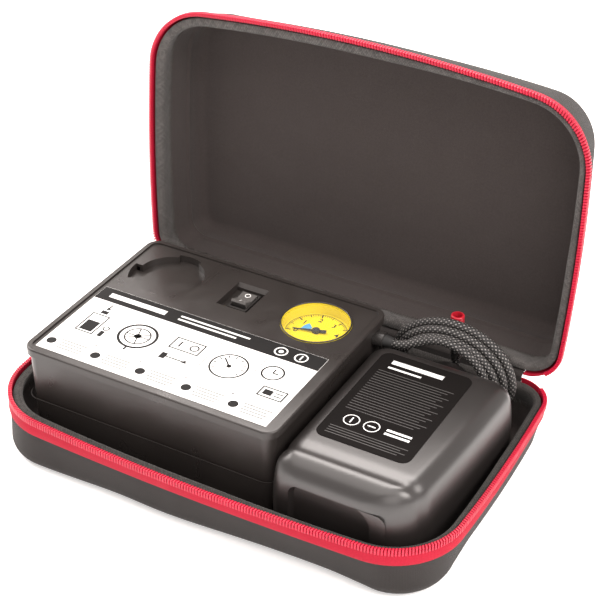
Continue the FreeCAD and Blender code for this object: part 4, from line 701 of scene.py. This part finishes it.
# pieces are modelled with the lid shut; the lid's are then turned open
def fitToCase(obj, part, degrees, node=None):
    if part["up"] > 0:
        form = caseForm
        hinge = Matrix.Translation((0, form["hingeY"], form["hingeZ"]))
        turn = Matrix.Rotation(radians(-form["open"]), 4, "X")
        placeIn(obj, hinge @ turn @ hinge.inverted())
    smooth(obj, degrees)
    if node:
        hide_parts(node)
    dress(obj, part["body"])


def wallInset(rim, floor, depth, edge, height):
    slope = (floor - rim) / depth
    steep = hypot(1, slope)
    centre = rim + slope * (depth - edge) + edge * steep
    if height <= depth - edge + edge * slope / steep:
        return rim + slope * height
    return centre - sqrt(max(0.0, edge ** 2 - (height - depth + edge) ** 2))


def wallInsets(part, edge, height):
    return [wallInset(part["rim"], part[f], part["depth"], edge, height) for f in ("floor", "backFloor")]


def ringAt(part, height, edge, more=0.0):
    form = caseForm
    path, hinge = caseOutline(*[inset + more for inset in wallInsets(part, edge, height)])
    down = form["zipBand"] + height
    path = swollen(path, part["up"], down, part.get("follow", 1.0))
    return [(x, y, form["seam"] + part["up"] * down) for x, y in path + hinge]


def wallRings(part, edge, ridge=0.0):
    depth = part["depth"]
    start = atan((part["floor"] - part["rim"]) / depth)
    turn = depth - edge
    count, edgeCount = caseForm["wallSteps"], caseForm["edgeSteps"]
    heights = [(turn + edge * sin(start)) * k / count for k in range(count)]
    if ridge:
        middle, wide = part["ridgeAt"], part["ridgeWide"]
        near = [middle + wide * t for t in (-2, -1.2, -0.6, 0, 0.6, 1.2, 2)]
        heights = sorted([h for h in heights if abs(h - middle) > 2.5 * wide] + near)
    heights += [turn + edge * sin(start + (pi / 2 - start) * k / edgeCount) for k in range(edgeCount + 1)]
    rings = []
    for height in heights:
        rise = ridge * exp(-((height - middle) / wide) ** 2) if ridge else 0.0
        rings.append(ringAt(part, height, edge, rise))
    return rings


def floorRings(part, last, dome):
    middleY = sum(p[1] for p in last) / len(last)
    rings = []
    for share in (0.86, 0.66, 0.44, 0.2):
        lift = part["up"] * dome * (1 - share ** 2)
        rings.append([(x * share, middleY + (y - middleY) * share, z + lift) for x, y, z in last])
    return rings


def makeShell(part):
    wall = caseForm["wall"]
    skin = wallRings(part, part["edge"])
    skin += floorRings(part, skin[-1], part["dome"])
    obj = loft(part["name"], skin, (finish["case_fabric"],), capped=True)
    faceOut(obj)
    inner = dict(part, rim=part["rim"] + wall, floor=part["floor"] + wall + part["sidePad"],
                 backFloor=part["backFloor"] + wall + part["backPad"],
                 depth=part["depth"] - wall - part["pad"], follow=pullForm["lining"])
    lining = [skin[0]] + wallRings(inner, part["inside"], part["ridge"])
    lining += floorRings(part, lining[-1], 0.0)
    inside = loft(part["name"] + "Lining", lining, (caseLining,), capped=True)
    faceOut(inside, inward=True)
    pickOnly(obj)
    inside.select_set(True)
    bpy.ops.object.join()
    editAll((bpy.ops.mesh.remove_doubles, {"threshold": caseForm["weld"]}),
            (bpy.ops.mesh.normals_make_consistent, {"inside": False}))
    boxUv(obj)
    fitToCase(obj, part, 40, part["node"])
    print(part["name"], "moulded,", len(obj.data.polygons), "faces")


for part in (baseShell, lidShell):
    makeShell(part)

zipForm = {"flare": {-1: 0.0015, 1: 0.0026}, "bulge": 0.0004, "top": 0.0007, "thick": 0.0007, "core": 0.0005,
           "lap": 0.0016, "pitch": 0.0019, "tooth": (0.00128, 0.0026, 0.0042), "toothInset": 0.0003,
           "toothEdge": 0.00036, "lean": 14, "toothMid": 0.0025, "endX": 0.13965, "bands": 8}


def tapeInset(up, share):
    form = zipForm
    bulge = form["bulge"] * sin(pi * share)
    return form["flare"][up] * (1 - share) - bulge + form["core"] * share ** 6


def zipLine(inset, up, down):
    path = swollen(caseOutline(inset, inset)[0], up, down)
    return [(x, y, caseForm["seam"] + up * down) for x, y in path]


def makeTape(name, part, node):
    form = zipForm
    low = caseForm["zipBand"] + form["lap"]
    wide = low - form["top"]
    up, count = part["up"], form["bands"]
    rings = [zipLine(tapeInset(up, k / count), up, low - wide * k / count) for k in range(count + 1)]
    obj = loft(name, rings, (finish["zip_tape"],), closed=False)
    faceOut(obj)
    stripUv(obj, rings, closed=False)
    finishWith(obj, "SOLIDIFY", thickness=form["thick"], offset=-1, use_even_offset=True)
    fitToCase(obj, part, 40, node)


def lineUp(obj, path, pitch):
    guide = curveThrough("guide", path, "POLY")[0]
    guide.data.twist_mode = "Z_UP"
    finishWith(obj, "ARRAY", count=int(runLength(path) / pitch), use_relative_offset=False,
               use_constant_offset=True, constant_offset_displace=(pitch, 0, 0))
    finishWith(obj, "CURVE", object=guide, deform_axis="POS_X")
    bpy.data.objects.remove(guide)


def makeTeeth(name, part, node):
    form = zipForm
    obj = addShape(bpy.ops.mesh.primitive_cube_add, name, size=1, location=(form["pitch"] / 2, 0, 0))
    obj.scale = form["tooth"]
    applyPlace()
    editAll((bpy.ops.mesh.bevel, {"offset": form["toothEdge"], "segments": 2, "profile": 0.6,
                                  "affect": "EDGES"}))
    slope = tan(radians(form["lean"]))
    for vert in obj.data.vertices:
        vert.co.x += vert.co.y * slope
    obj.data.materials.append(finish["zip_teeth"])
    line = zipLine(form["toothInset"], part["up"], form["toothMid"])
    lineUp(obj, [p for p in line if p[1] < 0 or abs(p[0]) >= form["endX"]], form["pitch"])
    fitToCase(obj, part, 50, node)
    print(name, "sewn,", len(obj.data.polygons), "faces")


# each step is a share of the roll, its drop from the binding's top, and 1 where it lies on the shell
bindingForm = {"thick": 0.0011, "top": 0.0024, "fit": 0.0001, "wobble": 0.0003, "gap": 0.0006,
               "roll": 0.0062, "rightRoll": 0.005, "rightOver": 20, "cornerRoll": 0.0034, "cornerOver": 24,
               "steps": ((0.0, 0.0012, 0), (0.06, 0.0003, 0), (0.3, 0.0, 0), (0.62, 0.0001, 0),
                         (0.86, 0.0007, 0), (0.98, 0.0018, 0), (1.0, 0.0032, 0), (0.94, 0.005, 0),
                         (0.66, 0.0074, 1), (0.3, 0.0092, 1), (0.07, 0.011, 1), (0.0, 0.0124, 1))}


def rollSlim(k):  # the roll is slimmer on the right, where the bottle's corner comes close
    form = bindingForm
    side = form["roll"] - form["rightRoll"]
    corner = form["rightRoll"] - form["cornerRoll"]
    rightShare = min(1.0, max(0.0, (k - frontMiddle) / form["rightOver"]))
    cornerShare = max(0.0, 1 - ((k - rightCorner - 6) / form["cornerOver"]) ** 2)
    return side * rightShare + corner * cornerShare


def makeBinding(name, part, node):
    form = bindingForm
    up = part["up"]
    draw = random.Random(7)
    band = caseForm["zipBand"]
    skin = form["fit"] + form["thick"]
    shellIn = part["rim"] + caseForm["wall"] + skin
    share = (band + zipForm["lap"] - form["top"]) / (band + zipForm["lap"] - zipForm["top"])
    tapeIn = tapeInset(up, share) + zipForm["thick"] + skin + form["gap"]
    rings = []
    for across, drop, onShell in form["steps"]:
        down = form["top"] + drop
        start = shellIn if onShell else tapeIn
        inset = start + across * (form["roll"] - (start - tapeIn)) - part["rim"]
        walls = wallInsets(part, part["edge"], max(down - band, 0.0))
        path, hinge = caseOutline(*[inset + wall for wall in walls])
        path = pushed(swollen(path, up, down), [across * rollSlim(k) for k in range(len(path))])
        loose = form["wobble"] if across == 0.0 and onShell else 0.0
        z = caseForm["seam"] + up * down
        rings.append([(x, y, z + draw.uniform(-loose, loose)) for x, y in path + hinge])
    # the base's binding takes the darker copy, painted shade
    obj = loft(name, rings, (finish["binding"] if up > 0 else baseBindingWeave,))
    faceOut(obj, inward=True)
    stripUv(obj, rings)
    finishWith(obj, "SOLIDIFY", thickness=form["thick"], offset=-1, use_even_offset=True)
    fitToCase(obj, part, 40, node)
    makeOverlock(name + "Stitches", rings[-1] + rings[-1][:1], part)


stitchForm = {"sides": 6, "pitch": 0.0017, "radius": 0.00032, "length": 0.0034, "slant": 24, "fuzz": 0.0004}


def makeOverlock(name, path, part):
    form = stitchForm
    obj = addShape(bpy.ops.mesh.primitive_cylinder_add, name, vertices=form["sides"], radius=form["radius"],
                   depth=form["length"], location=(form["pitch"] / 2, 0, 0),
                   rotation=(0, radians(form["slant"]), 0))
    applyPlace()
    obj.data.materials.append(stitchThread)
    lineUp(obj, path, form["pitch"])
    draw = random.Random(11)
    step = 2 * form["sides"]
    for first in range(0, len(obj.data.vertices), step):
        shift = Vector([draw.uniform(-form["fuzz"], form["fuzz"]) for _ in range(3)])
        for vert in obj.data.vertices[first:first + step]:
            vert.co += shift
    fitToCase(obj, part, 60)


for make, piece, node in ((makeTape, "ZipTape", "zip_tape"), (makeTeeth, "ZipTeeth", "zip_chain"),
                          (makeBinding, "Binding", "edge_binding")):
    for side, part in (("base", baseShell), ("lid", lidShell)):
        make(side + piece, part, side + "_" + node)

hingeForm = {"half": 0.1275, "rows": 33, "columns": 60, "thick": 0.0009, "bend": 0.0016}


def makeHinge():
    form = hingeForm
    band, bend = caseForm["zipBand"], form["bend"]
    hingeY, hingeZ = caseForm["hingeY"], caseForm["hingeZ"]
    low, high = caseForm["seam"] - band, caseForm["seam"] + band
    turn = radians(-caseForm["open"])
    obj = addShape(bpy.ops.mesh.primitive_grid_add, "fabricHinge", x_subdivisions=form["columns"],
                   y_subdivisions=form["rows"], size=1)
    cloth = obj.data.uv_layers.active or obj.data.uv_layers.new(name="cloth")
    cloth.name = "cloth"
    for loop in obj.data.loops:
        co = obj.data.vertices[loop.vertex_index].co
        cloth.data[loop.index].uv = (co.x * 2 * form["half"], co.y * (high - low))
    for vert in obj.data.vertices:
        lift = low + (high - low) * (vert.co.y + 0.5) - caseForm["seam"]
        flare = (baseShell if lift < 0 else lidShell)["rim"]
        y = -flare * abs(lift) / band
        angle = turn * ease(min(1.0, max(0.0, (lift + bend) / (2 * bend))))
        vert.co = (vert.co.x * 2 * form["half"], hingeY + y * cos(angle) - lift * sin(angle),
                   hingeZ + y * sin(angle) + lift * cos(angle))
    obj.data.materials.append(finish["case_fabric"])
    if sum(p.normal.y - p.normal.z * 0.2 for p in obj.data.polygons) < 0:
        obj.data.flip_normals()
    finishWith(obj, "SOLIDIFY", thickness=form["thick"], offset=-1)
    smooth(obj, 60)
    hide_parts("fabric_hinge")
    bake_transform(obj)
    print("fabric hinge sewn in")


makeHinge()

# bottle: blow moulded in one skin, with a soft valley behind the rolled foot end
bottle = {"x": 0.08985, "z": 0.0353, "footY": -0.082, "length": 0.140, "width": 0.091, "height": 0.0654,
          "edge": 0.012, "bow": 0.130, "spread": 0.0075, "spacing": 0.008, "footRoll": 0.014,
          "rightRun": 0.024, "leftRun": 0.014, "leftIn": 0.010, "shoulder": 0.016, "shoulderSide": 0.011,
          "shoulderDrop": 0.010, "valleyAt": 0.0182, "valley": 0.0008, "valleyWide": 0.004, "neck": 0.013,
          "neckWall": 0.002, "neckLength": 0.011, "neckIn": 0.004,
          "steps": (12, 10, 18)}
# the recess in its foot: each step goes in from the edge and back
recess = {"x": 0.0902, "wide": 0.0615, "high": 0.0364, "corner": 0.006, "leastCorner": 0.001, "bow": 20.0,
          "steps": ((0.0, 0.0), (0.0006, 0.0009), (0.0012, 0.0022), (0.0022, 0.003), (0.008, 0.003))}


def rolled(distance, length):
    return 1 - sqrt(1 - max(0.0, 1 - distance / length) ** 2)


def barrelRing(halfW, halfH, edge, bow, middleX, y):
    bowX = halfW - bow
    cz = halfH - edge
    cx = bowX + sqrt((bow - edge) ** 2 - cz ** 2)
    lean = atan2(cz, cx - bowX)
    half = pi / 2
    bowSteps, edgeSteps, flatSteps = bottle["steps"]
    points = arcPoints(bowX, 0, bow, -lean, lean, bowSteps)
    points += arcPoints(cx, cz, edge, lean, half, edgeSteps)
    points += [(cx - 2 * cx * k / flatSteps, halfH) for k in range(flatSteps)]
    points += arcPoints(-cx, cz, edge, half, 2 * half - lean, edgeSteps)
    points += [(-x, -z) for x, z in points]  # the other half, turned round
    return [(middleX + x, y, bottle["z"] + z) for x, z in points]


def bottleRing(distance):
    form = bottle
    shoulder = max(0.0, 1 - (form["length"] - distance) / form["shoulder"]) ** 2
    valley = form["valley"] * exp(-((distance - form["valleyAt"]) / form["valleyWide"]) ** 2)
    drawnIn = valley + form["shoulderSide"] * shoulder
    spread = form["spread"] * (1 - (1 - distance / form["length"]) ** 2)
    left = form["width"] / 2 - drawnIn - form["leftIn"] * rolled(distance, form["leftRun"])
    right = form["width"] / 2 + spread - drawnIn - form["rightRun"] * rolled(distance, form["rightRun"])
    halfH = form["height"] / 2 - valley - form["footRoll"] * rolled(distance, form["footRoll"])
    halfH -= form["shoulderDrop"] * shoulder
    return barrelRing((left + right) / 2, halfH, form["edge"], form["bow"], form["x"] + (right - left) / 2,
                      form["footY"] + distance)


def neckRings(angles):
    form = bottle
    outer, length = form["neck"], form["neckLength"]
    inner = outer - form["neckWall"]
    rim = outer + form["neckWall"]
    steps = ((0.0002, -form["neckIn"]), (inner, -form["neckIn"]), (inner, length), (outer, length),
             (outer, form["neckWall"]), (rim, 0.0))
    backY = form["footY"] + form["length"]
    return [[(form["x"] + r * cos(a), backY + y, form["z"] + r * sin(a)) for a in angles]
            for r, y in steps]


def makeBottle():
    form = bottle
    neckEnd = form["length"] - form["shoulder"]
    shoulder = [form["length"] - form["shoulder"] * k / 8 for k in range(9)]
    middle = [neckEnd - form["spacing"] * k for k in range(1, 12)]
    valley = [form["valleyAt"] + form["valleyWide"] * k / 2 for k in range(5, -3, -1)]
    foot = [form["footRoll"] * (1 - sin(pi / 2 * k / 16)) for k in range(17)]
    body = [bottleRing(d) for d in shoulder + middle + valley + foot]
    rings = neckRings([atan2(z - form["z"], x - form["x"]) for x, _, z in body[0]]) + body
    for inset, deep in recess["steps"]:
        corner = max(recess["leastCorner"], recess["corner"] - inset)
        rings.append(barrelRing(recess["wide"] / 2 - inset, recess["high"] / 2 - inset, corner, recess["bow"],
                                recess["x"], form["footY"] + deep))
    obj = loft("sealantBottle", rings, (finish["bottle_black"],), capped=True)
    faceOut(obj)
    smooth(obj, 38)
    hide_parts("bottle_shell")
    dress(obj, "case")
    print("bottle blown,", len(obj.data.polygons), "faces")


makeBottle()

# a fine bead where the compressor's two halves meet: each step goes out from the wall and up
beadForm = {"box": (-0.13205, 0.04495, -0.0737, 0.0723), "corner": 0.009, "z": 0.0395,
            "steps": ((-0.0003, -0.0004), (0.00005, -0.0002), (0.00005, 0.0002), (-0.0003, 0.0004))}


def makeBead():
    form = beadForm
    x0, x1, y0, y1 = form["box"]
    corner = form["corner"]
    quarter = pi / 2
    rings = []
    for out, lift in form["steps"]:
        path = []
        for cx, cy, turn in ((x0 + corner, y0 + corner, 2), (x1 - corner, y0 + corner, 3),
                             (x1 - corner, y1 - corner, 0), (x0 + corner, y1 - corner, 1)):
            path += arcPoints(cx, cy, corner + out, turn * quarter, (turn + 1) * quarter, 10)
        rings.append([(x, y, form["z"] + lift) for x, y in path])
    obj = loft("housingBead", rings, (beadPlastic,))
    faceOut(obj)
    smooth(obj, 50)
    dress(obj, "case")


makeBead()


# printed marks, cut from flat shapes in millimetres and pressed on
printThick = 0.04


def bar(x, y, wide, deep, turn=0.0):
    obj = addShape(bpy.ops.mesh.primitive_plane_add, size=1, location=(x, y, 0),
                   rotation=(0, 0, radians(turn)))
    obj.scale = (wide, deep, 1)
    applyPlace()
    return obj


def disc(x, y, radius, hole=0.0, count=40, turn=0.0):
    obj = addShape(bpy.ops.mesh.primitive_circle_add, vertices=count, radius=radius, fill_type="NGON",
                   location=(x, y, 0), rotation=(0, 0, radians(turn)))
    applyPlace()
    if hole:
        editAll((bpy.ops.mesh.inset, {"thickness": (radius - hole) * cos(pi / count)}),
                (bpy.ops.mesh.delete, {"type": "FACE"}))
    return obj


def bars(*rows):
    return [bar(*row) for row in rows]


def discs(*rows):
    return [disc(*row) for row in rows]


def frameBars(x, y, wide, deep, line):
    level = [bar(x, y + s * deep / 2, wide + line, line) for s in (-1, 1)]
    return level + [bar(x + s * wide / 2, y, line, deep + line) for s in (-1, 1)]


def sector(inner, outer, start, end, count=12):
    outside = arcPoints(0, 0, outer, radians(start), radians(end), count)
    inside = arcPoints(0, 0, inner, radians(end), radians(start), count)
    obj = disc(0, 0, 1, 0.0, 2 * count)
    for vert, place in zip(obj.data.vertices, outside + inside):
        vert.co = (*place, 0)
    return obj


def word(text, x, y, size):
    obj = addShape(bpy.ops.object.text_add, location=(x, y, 0))
    obj.data.body = text
    obj.data.size = size
    obj.data.align_x = obj.data.align_y = "CENTER"
    obj.data.offset = size * 0.02
    obj.data.resolution_u = 4
    bpy.ops.object.convert(target="MESH")
    applyPlace()
    return bpy.context.object


def press(name, pieces, matrix, mat, body):
    pickOnly(pieces[0])
    for piece in pieces:
        piece.select_set(True)
    bpy.ops.object.join()
    obj = bpy.context.object
    obj.name = obj.data.name = name
    obj.data.materials.clear()
    obj.data.materials.append(mat)
    editAll((bpy.ops.mesh.normals_make_consistent, {"inside": False}))
    if obj.data.polygons[0].normal.z < 0:
        obj.data.flip_normals()
    editAll((bpy.ops.mesh.extrude_region_move, {"TRANSFORM_OT_translate": {"value": (0, 0, printThick)}}))
    placeIn(obj, matrix @ Matrix.Scale(0.001, 4))
    return dress(obj, body)


sheetForm = {"place": (-0.0447, -0.0293, 0.0753), "panels": (-64.8, -32.4, 0.0, 32.4, 64.8),
             "rules": (-48.6, -16.2, 16.2, 48.6), "header": 30.65, "marksLift": 0.00004}


def sheetPictures():
    valve, wheel, switch, gauge, clock = sheetForm["panels"]
    dark = frameBars(valve, -1, 12, 20, 1.0)
    dark += bars((valve, 12.4, 5, 3.4), (valve, 19, 1.0, 5), (valve, -4, 9, 11), (valve + 11, -8, 3, 6))
    dark += discs((valve, 16.6, 2.0, 0, 3, -90), (valve + 11, -2, 2.4, 1.5))
    dark += discs((wheel, 1, 13, 11.2), (wheel, 1, 8.6, 7.6), (wheel, 1, 2.4))
    dark += bars((wheel, -13.4, 1.4, 3.4), *[(wheel, 1, 15.6, 0.8, 36 + 72 * k) for k in range(3)])
    dark += frameBars(switch, 7, 20, 11, 1.0)
    dark += bars((switch - 5, 7, 1.2, 6), (switch, -8, 12, 1.0), (switch - 8, -8, 4, 6))
    dark += discs((switch + 5, 7, 3.2, 2.2), (switch + 7, -8, 2.2, 0, 3, 0))
    dark += discs((gauge, 2, 12.4, 11.2), (gauge, 2, 1.6)) + bars((gauge - 3.2, 5.2, 9, 1.0, 135))
    for degrees in range(-30, 211, 30):
        way = radians(degrees)
        dark.append(bar(gauge + 9.6 * cos(way), 2 + 9.6 * sin(way), 2.2, 0.8, degrees))
    dark += discs((clock - 6, 9, 7.4, 6.2)) + bars((clock - 6, 11, 1.0, 4.4), (clock - 4.2, 9, 3.6, 1.0))
    dark += frameBars(clock + 4, -9, 16, 9, 1.0)
    dark += bars((clock + 1, -9, 6, 5), (clock + 8, -7.6, 5, 0.9), (clock + 8, -10.4, 5, 0.9))
    return dark + discs(*[(x - 11, -28.5, 3.2) for x in sheetForm["panels"]])


def makeSheetMarks():
    at = Matrix.Translation(sheetForm["place"])
    raised = at @ Matrix.Translation((0, 0, sheetForm["marksLift"]))
    top = sheetForm["header"]
    press("sheetHeader", bars((0, top, 161.8, 13.6)), at, printBlack, "case")
    light = bars((-52, top, 42, 4.4), (4, top + 2, 50, 1.5), (0, top - 1.6, 42, 1.5), (66, top, 1.0, 4.6))
    light += discs((66, top, 4.4, 3.5), (52, top, 4.4, 3.5), (52, top, 1.6))
    press("sheetHeaderMarks", light, raised, printWhite, "case")
    rules = bars((0, -20, 156, 0.6), *[(x, -6, 0.6, 54) for x in sheetForm["rules"]])
    for x in sheetForm["panels"]:
        rules += [bar(x + 3.5, -24.6 - 2.6 * k, 19 - 3 * (k % 2), 1.0) for k in range(4)]
    press("sheetRules", rules, at, printGrey, "case")
    press("sheetPictures", sheetPictures(), at, printBlack, "case")
    print("sheet printed")


labelForm = {"place": (0.0877, -0.00395, 0.06825)}


def makeLabelMarks():
    at = Matrix.Translation(labelForm["place"])
    white = bars((-4, 38, 34, 3.8), (-10, 32, 22, 1.6), (-16, -25, 0.9, 5), (-3, -25, 5, 0.9),
                 (14, -23.4, 16, 1.8), (14, -26.8, 16, 1.8))
    white += discs((-16, -25, 5, 4.4), (-3, -25, 5, 4.4))
    press("labelWhite", white, at, printWhite, "case")
    grey = [bar(-1.5 * (k % 3), 27 - 2.5 * k, 50 - 3 * (k % 3), 0.5) for k in range(18)]
    grey += [bar(-2 * (k % 2), -34.5 - 2.2 * k, 50 - 4 * (k % 2), 0.5) for k in range(4)]
    press("labelGrey", grey, at, printDim, "case")
    print("label printed")


ringForm = {"place": (0.0104, 0.0397, 0.0753), "radius": 0.0221, "thick": 0.0005}


def makeGaugeRing():
    form = ringForm
    obj = addShape(bpy.ops.mesh.primitive_torus_add, "gaugeRing", major_radius=form["radius"],
                   minor_radius=form["thick"], major_segments=72, minor_segments=12, location=form["place"])
    applyPlace()
    for vert in obj.data.vertices:  # flat underside, where it sits on the lens
        vert.co.z = max(vert.co.z, form["place"][2] - form["thick"] / 2)
    obj.data.materials.append(finish["switch_black"])
    smooth(obj, 40)
    dress(obj, "case")


dialForm = {"place": (0.0104, 0.0397, 0.0674), "zero": 197.0, "sweep": 230.0, "steps": 50, "outer": 19.6,
            "line": 0.35, "numbers": 13.2, "numberSize": 5.4}


def makeDialMarks():
    form = dialForm
    at = Matrix.Translation(form["place"])
    marks = []
    for k in range(form["steps"] + 1):
        angle = form["zero"] - form["sweep"] * k / form["steps"]
        length, wide = ((3.4, 0.9) if k % 10 == 0 else (2.6, 0.6)) if k % 5 == 0 else (1.6, 0.36)
        reach = form["outer"] - length / 2
        east, north = cos(radians(angle)), sin(radians(angle))
        marks.append(bar(reach * east, reach * north, length, wide, angle))
        if k % 10 == 0:
            out = form["numbers"]
            marks.append(word(str(k // 10), out * east, out * north, form["numberSize"]))
    marks.append(sector(form["outer"], form["outer"] + form["line"], form["zero"] - form["sweep"],
                        form["zero"], 48))
    press("dialMarks", marks, at, printBlack, "case")
    press("dialBlue", [sector(5.2, 10.6, 140, 187)], at, printBlue, "case")
    press("dialRed", [sector(15.6, 16.8, -33, 8)], at, printRed, "case")
    print("dial printed")


rockerForm = {"pivot": (-0.0439, 0.0429, 0.070), "tilt": -11.0, "rise": 2.2, "reach": 9.0, "dip": 2.0,
              "clear": 0.01}


def makeRockerMarks():
    form = rockerForm
    seat = Matrix.Translation(form["pivot"]) @ Matrix.Rotation(radians(form["tilt"]), 4, "X")
    lift = (form["dip"] + form["rise"] / 2 + form["clear"]) / 1000
    for name, side, pieces in (("rockerOff", 1, discs((0, 0, 2.0, 1.5))),
                               ("rockerOn", -1, bars((0, 0, 0.6, 3.6)))):
        lean = side * atan2(form["rise"], form["reach"])
        facet = Matrix.Translation((0, side * form["reach"] / 2000, lift)) @ Matrix.Rotation(lean, 4, "X")
        press(name, pieces, seat @ facet, printWhite, "rocker")
    print("rocker marked")


makeGaugeRing()
makeSheetMarks()
makeLabelMarks()
makeDialMarks()
makeRockerMarks()

# light and floor: each soft box has its place, size and power
studio = {"sky": 0.8, "warm": (1.0, 0.935, 0.9), "aim": (0, 0.02, 0.06), "floor": (0.9, 0.9, 0.9),
          "floorSize": 30, "floorZ": -0.0004, "glow": 0.35,
          "boxes": (("backBox", (-0.25, 0.75, 1.15), 0.9, 26.0),
                    ("overheadBox", (0.0, -0.35, 1.4), 1.2, 10.0),
                    ("frontBox", (0.9, -1.5, 0.9), 1.2, 10.0),
                    ("rightBox", (1.0, -0.15, 0.95), 0.7, 16.0),
                    ("leftBox", (-1.1, 0.1, 0.85), 0.7, 16.0))}


def makeStudio():
    scene = bpy.context.scene
    scene.view_settings.view_transform = "Standard"
    world = bpy.data.worlds.new("studioSky")
    world.use_nodes = True
    back = world.node_tree.nodes["Background"]
    back.inputs["Color"].default_value = (*studio["warm"], 1)
    back.inputs["Strength"].default_value = studio["sky"]
    scene.world = world
    for name, place, size, power in studio["boxes"]:
        light = linked(name, bpy.data.lights.new(name, "AREA"))
        light.data.size = size
        light.data.energy = power
        light.data.color = studio["warm"]
        light.location = place
        light.rotation_mode = "QUATERNION"
        light.rotation_quaternion = (Vector(studio["aim"]) - Vector(place)).to_track_quat("-Z", "Y")
    floor = addShape(bpy.ops.mesh.primitive_plane_add, "studioFloor", size=studio["floorSize"],
                     location=(0, 0, studio["floorZ"]))
    pale = mouldedPlastic("paleFloor", studio["floor"], 0.8, 20.0, 0.0, 0.01, Emission_Color=(1, 1, 1, 1),
                          Emission_Strength=studio["glow"])
    floor.data.materials.append(pale)


makeStudio()
print("studio lit")
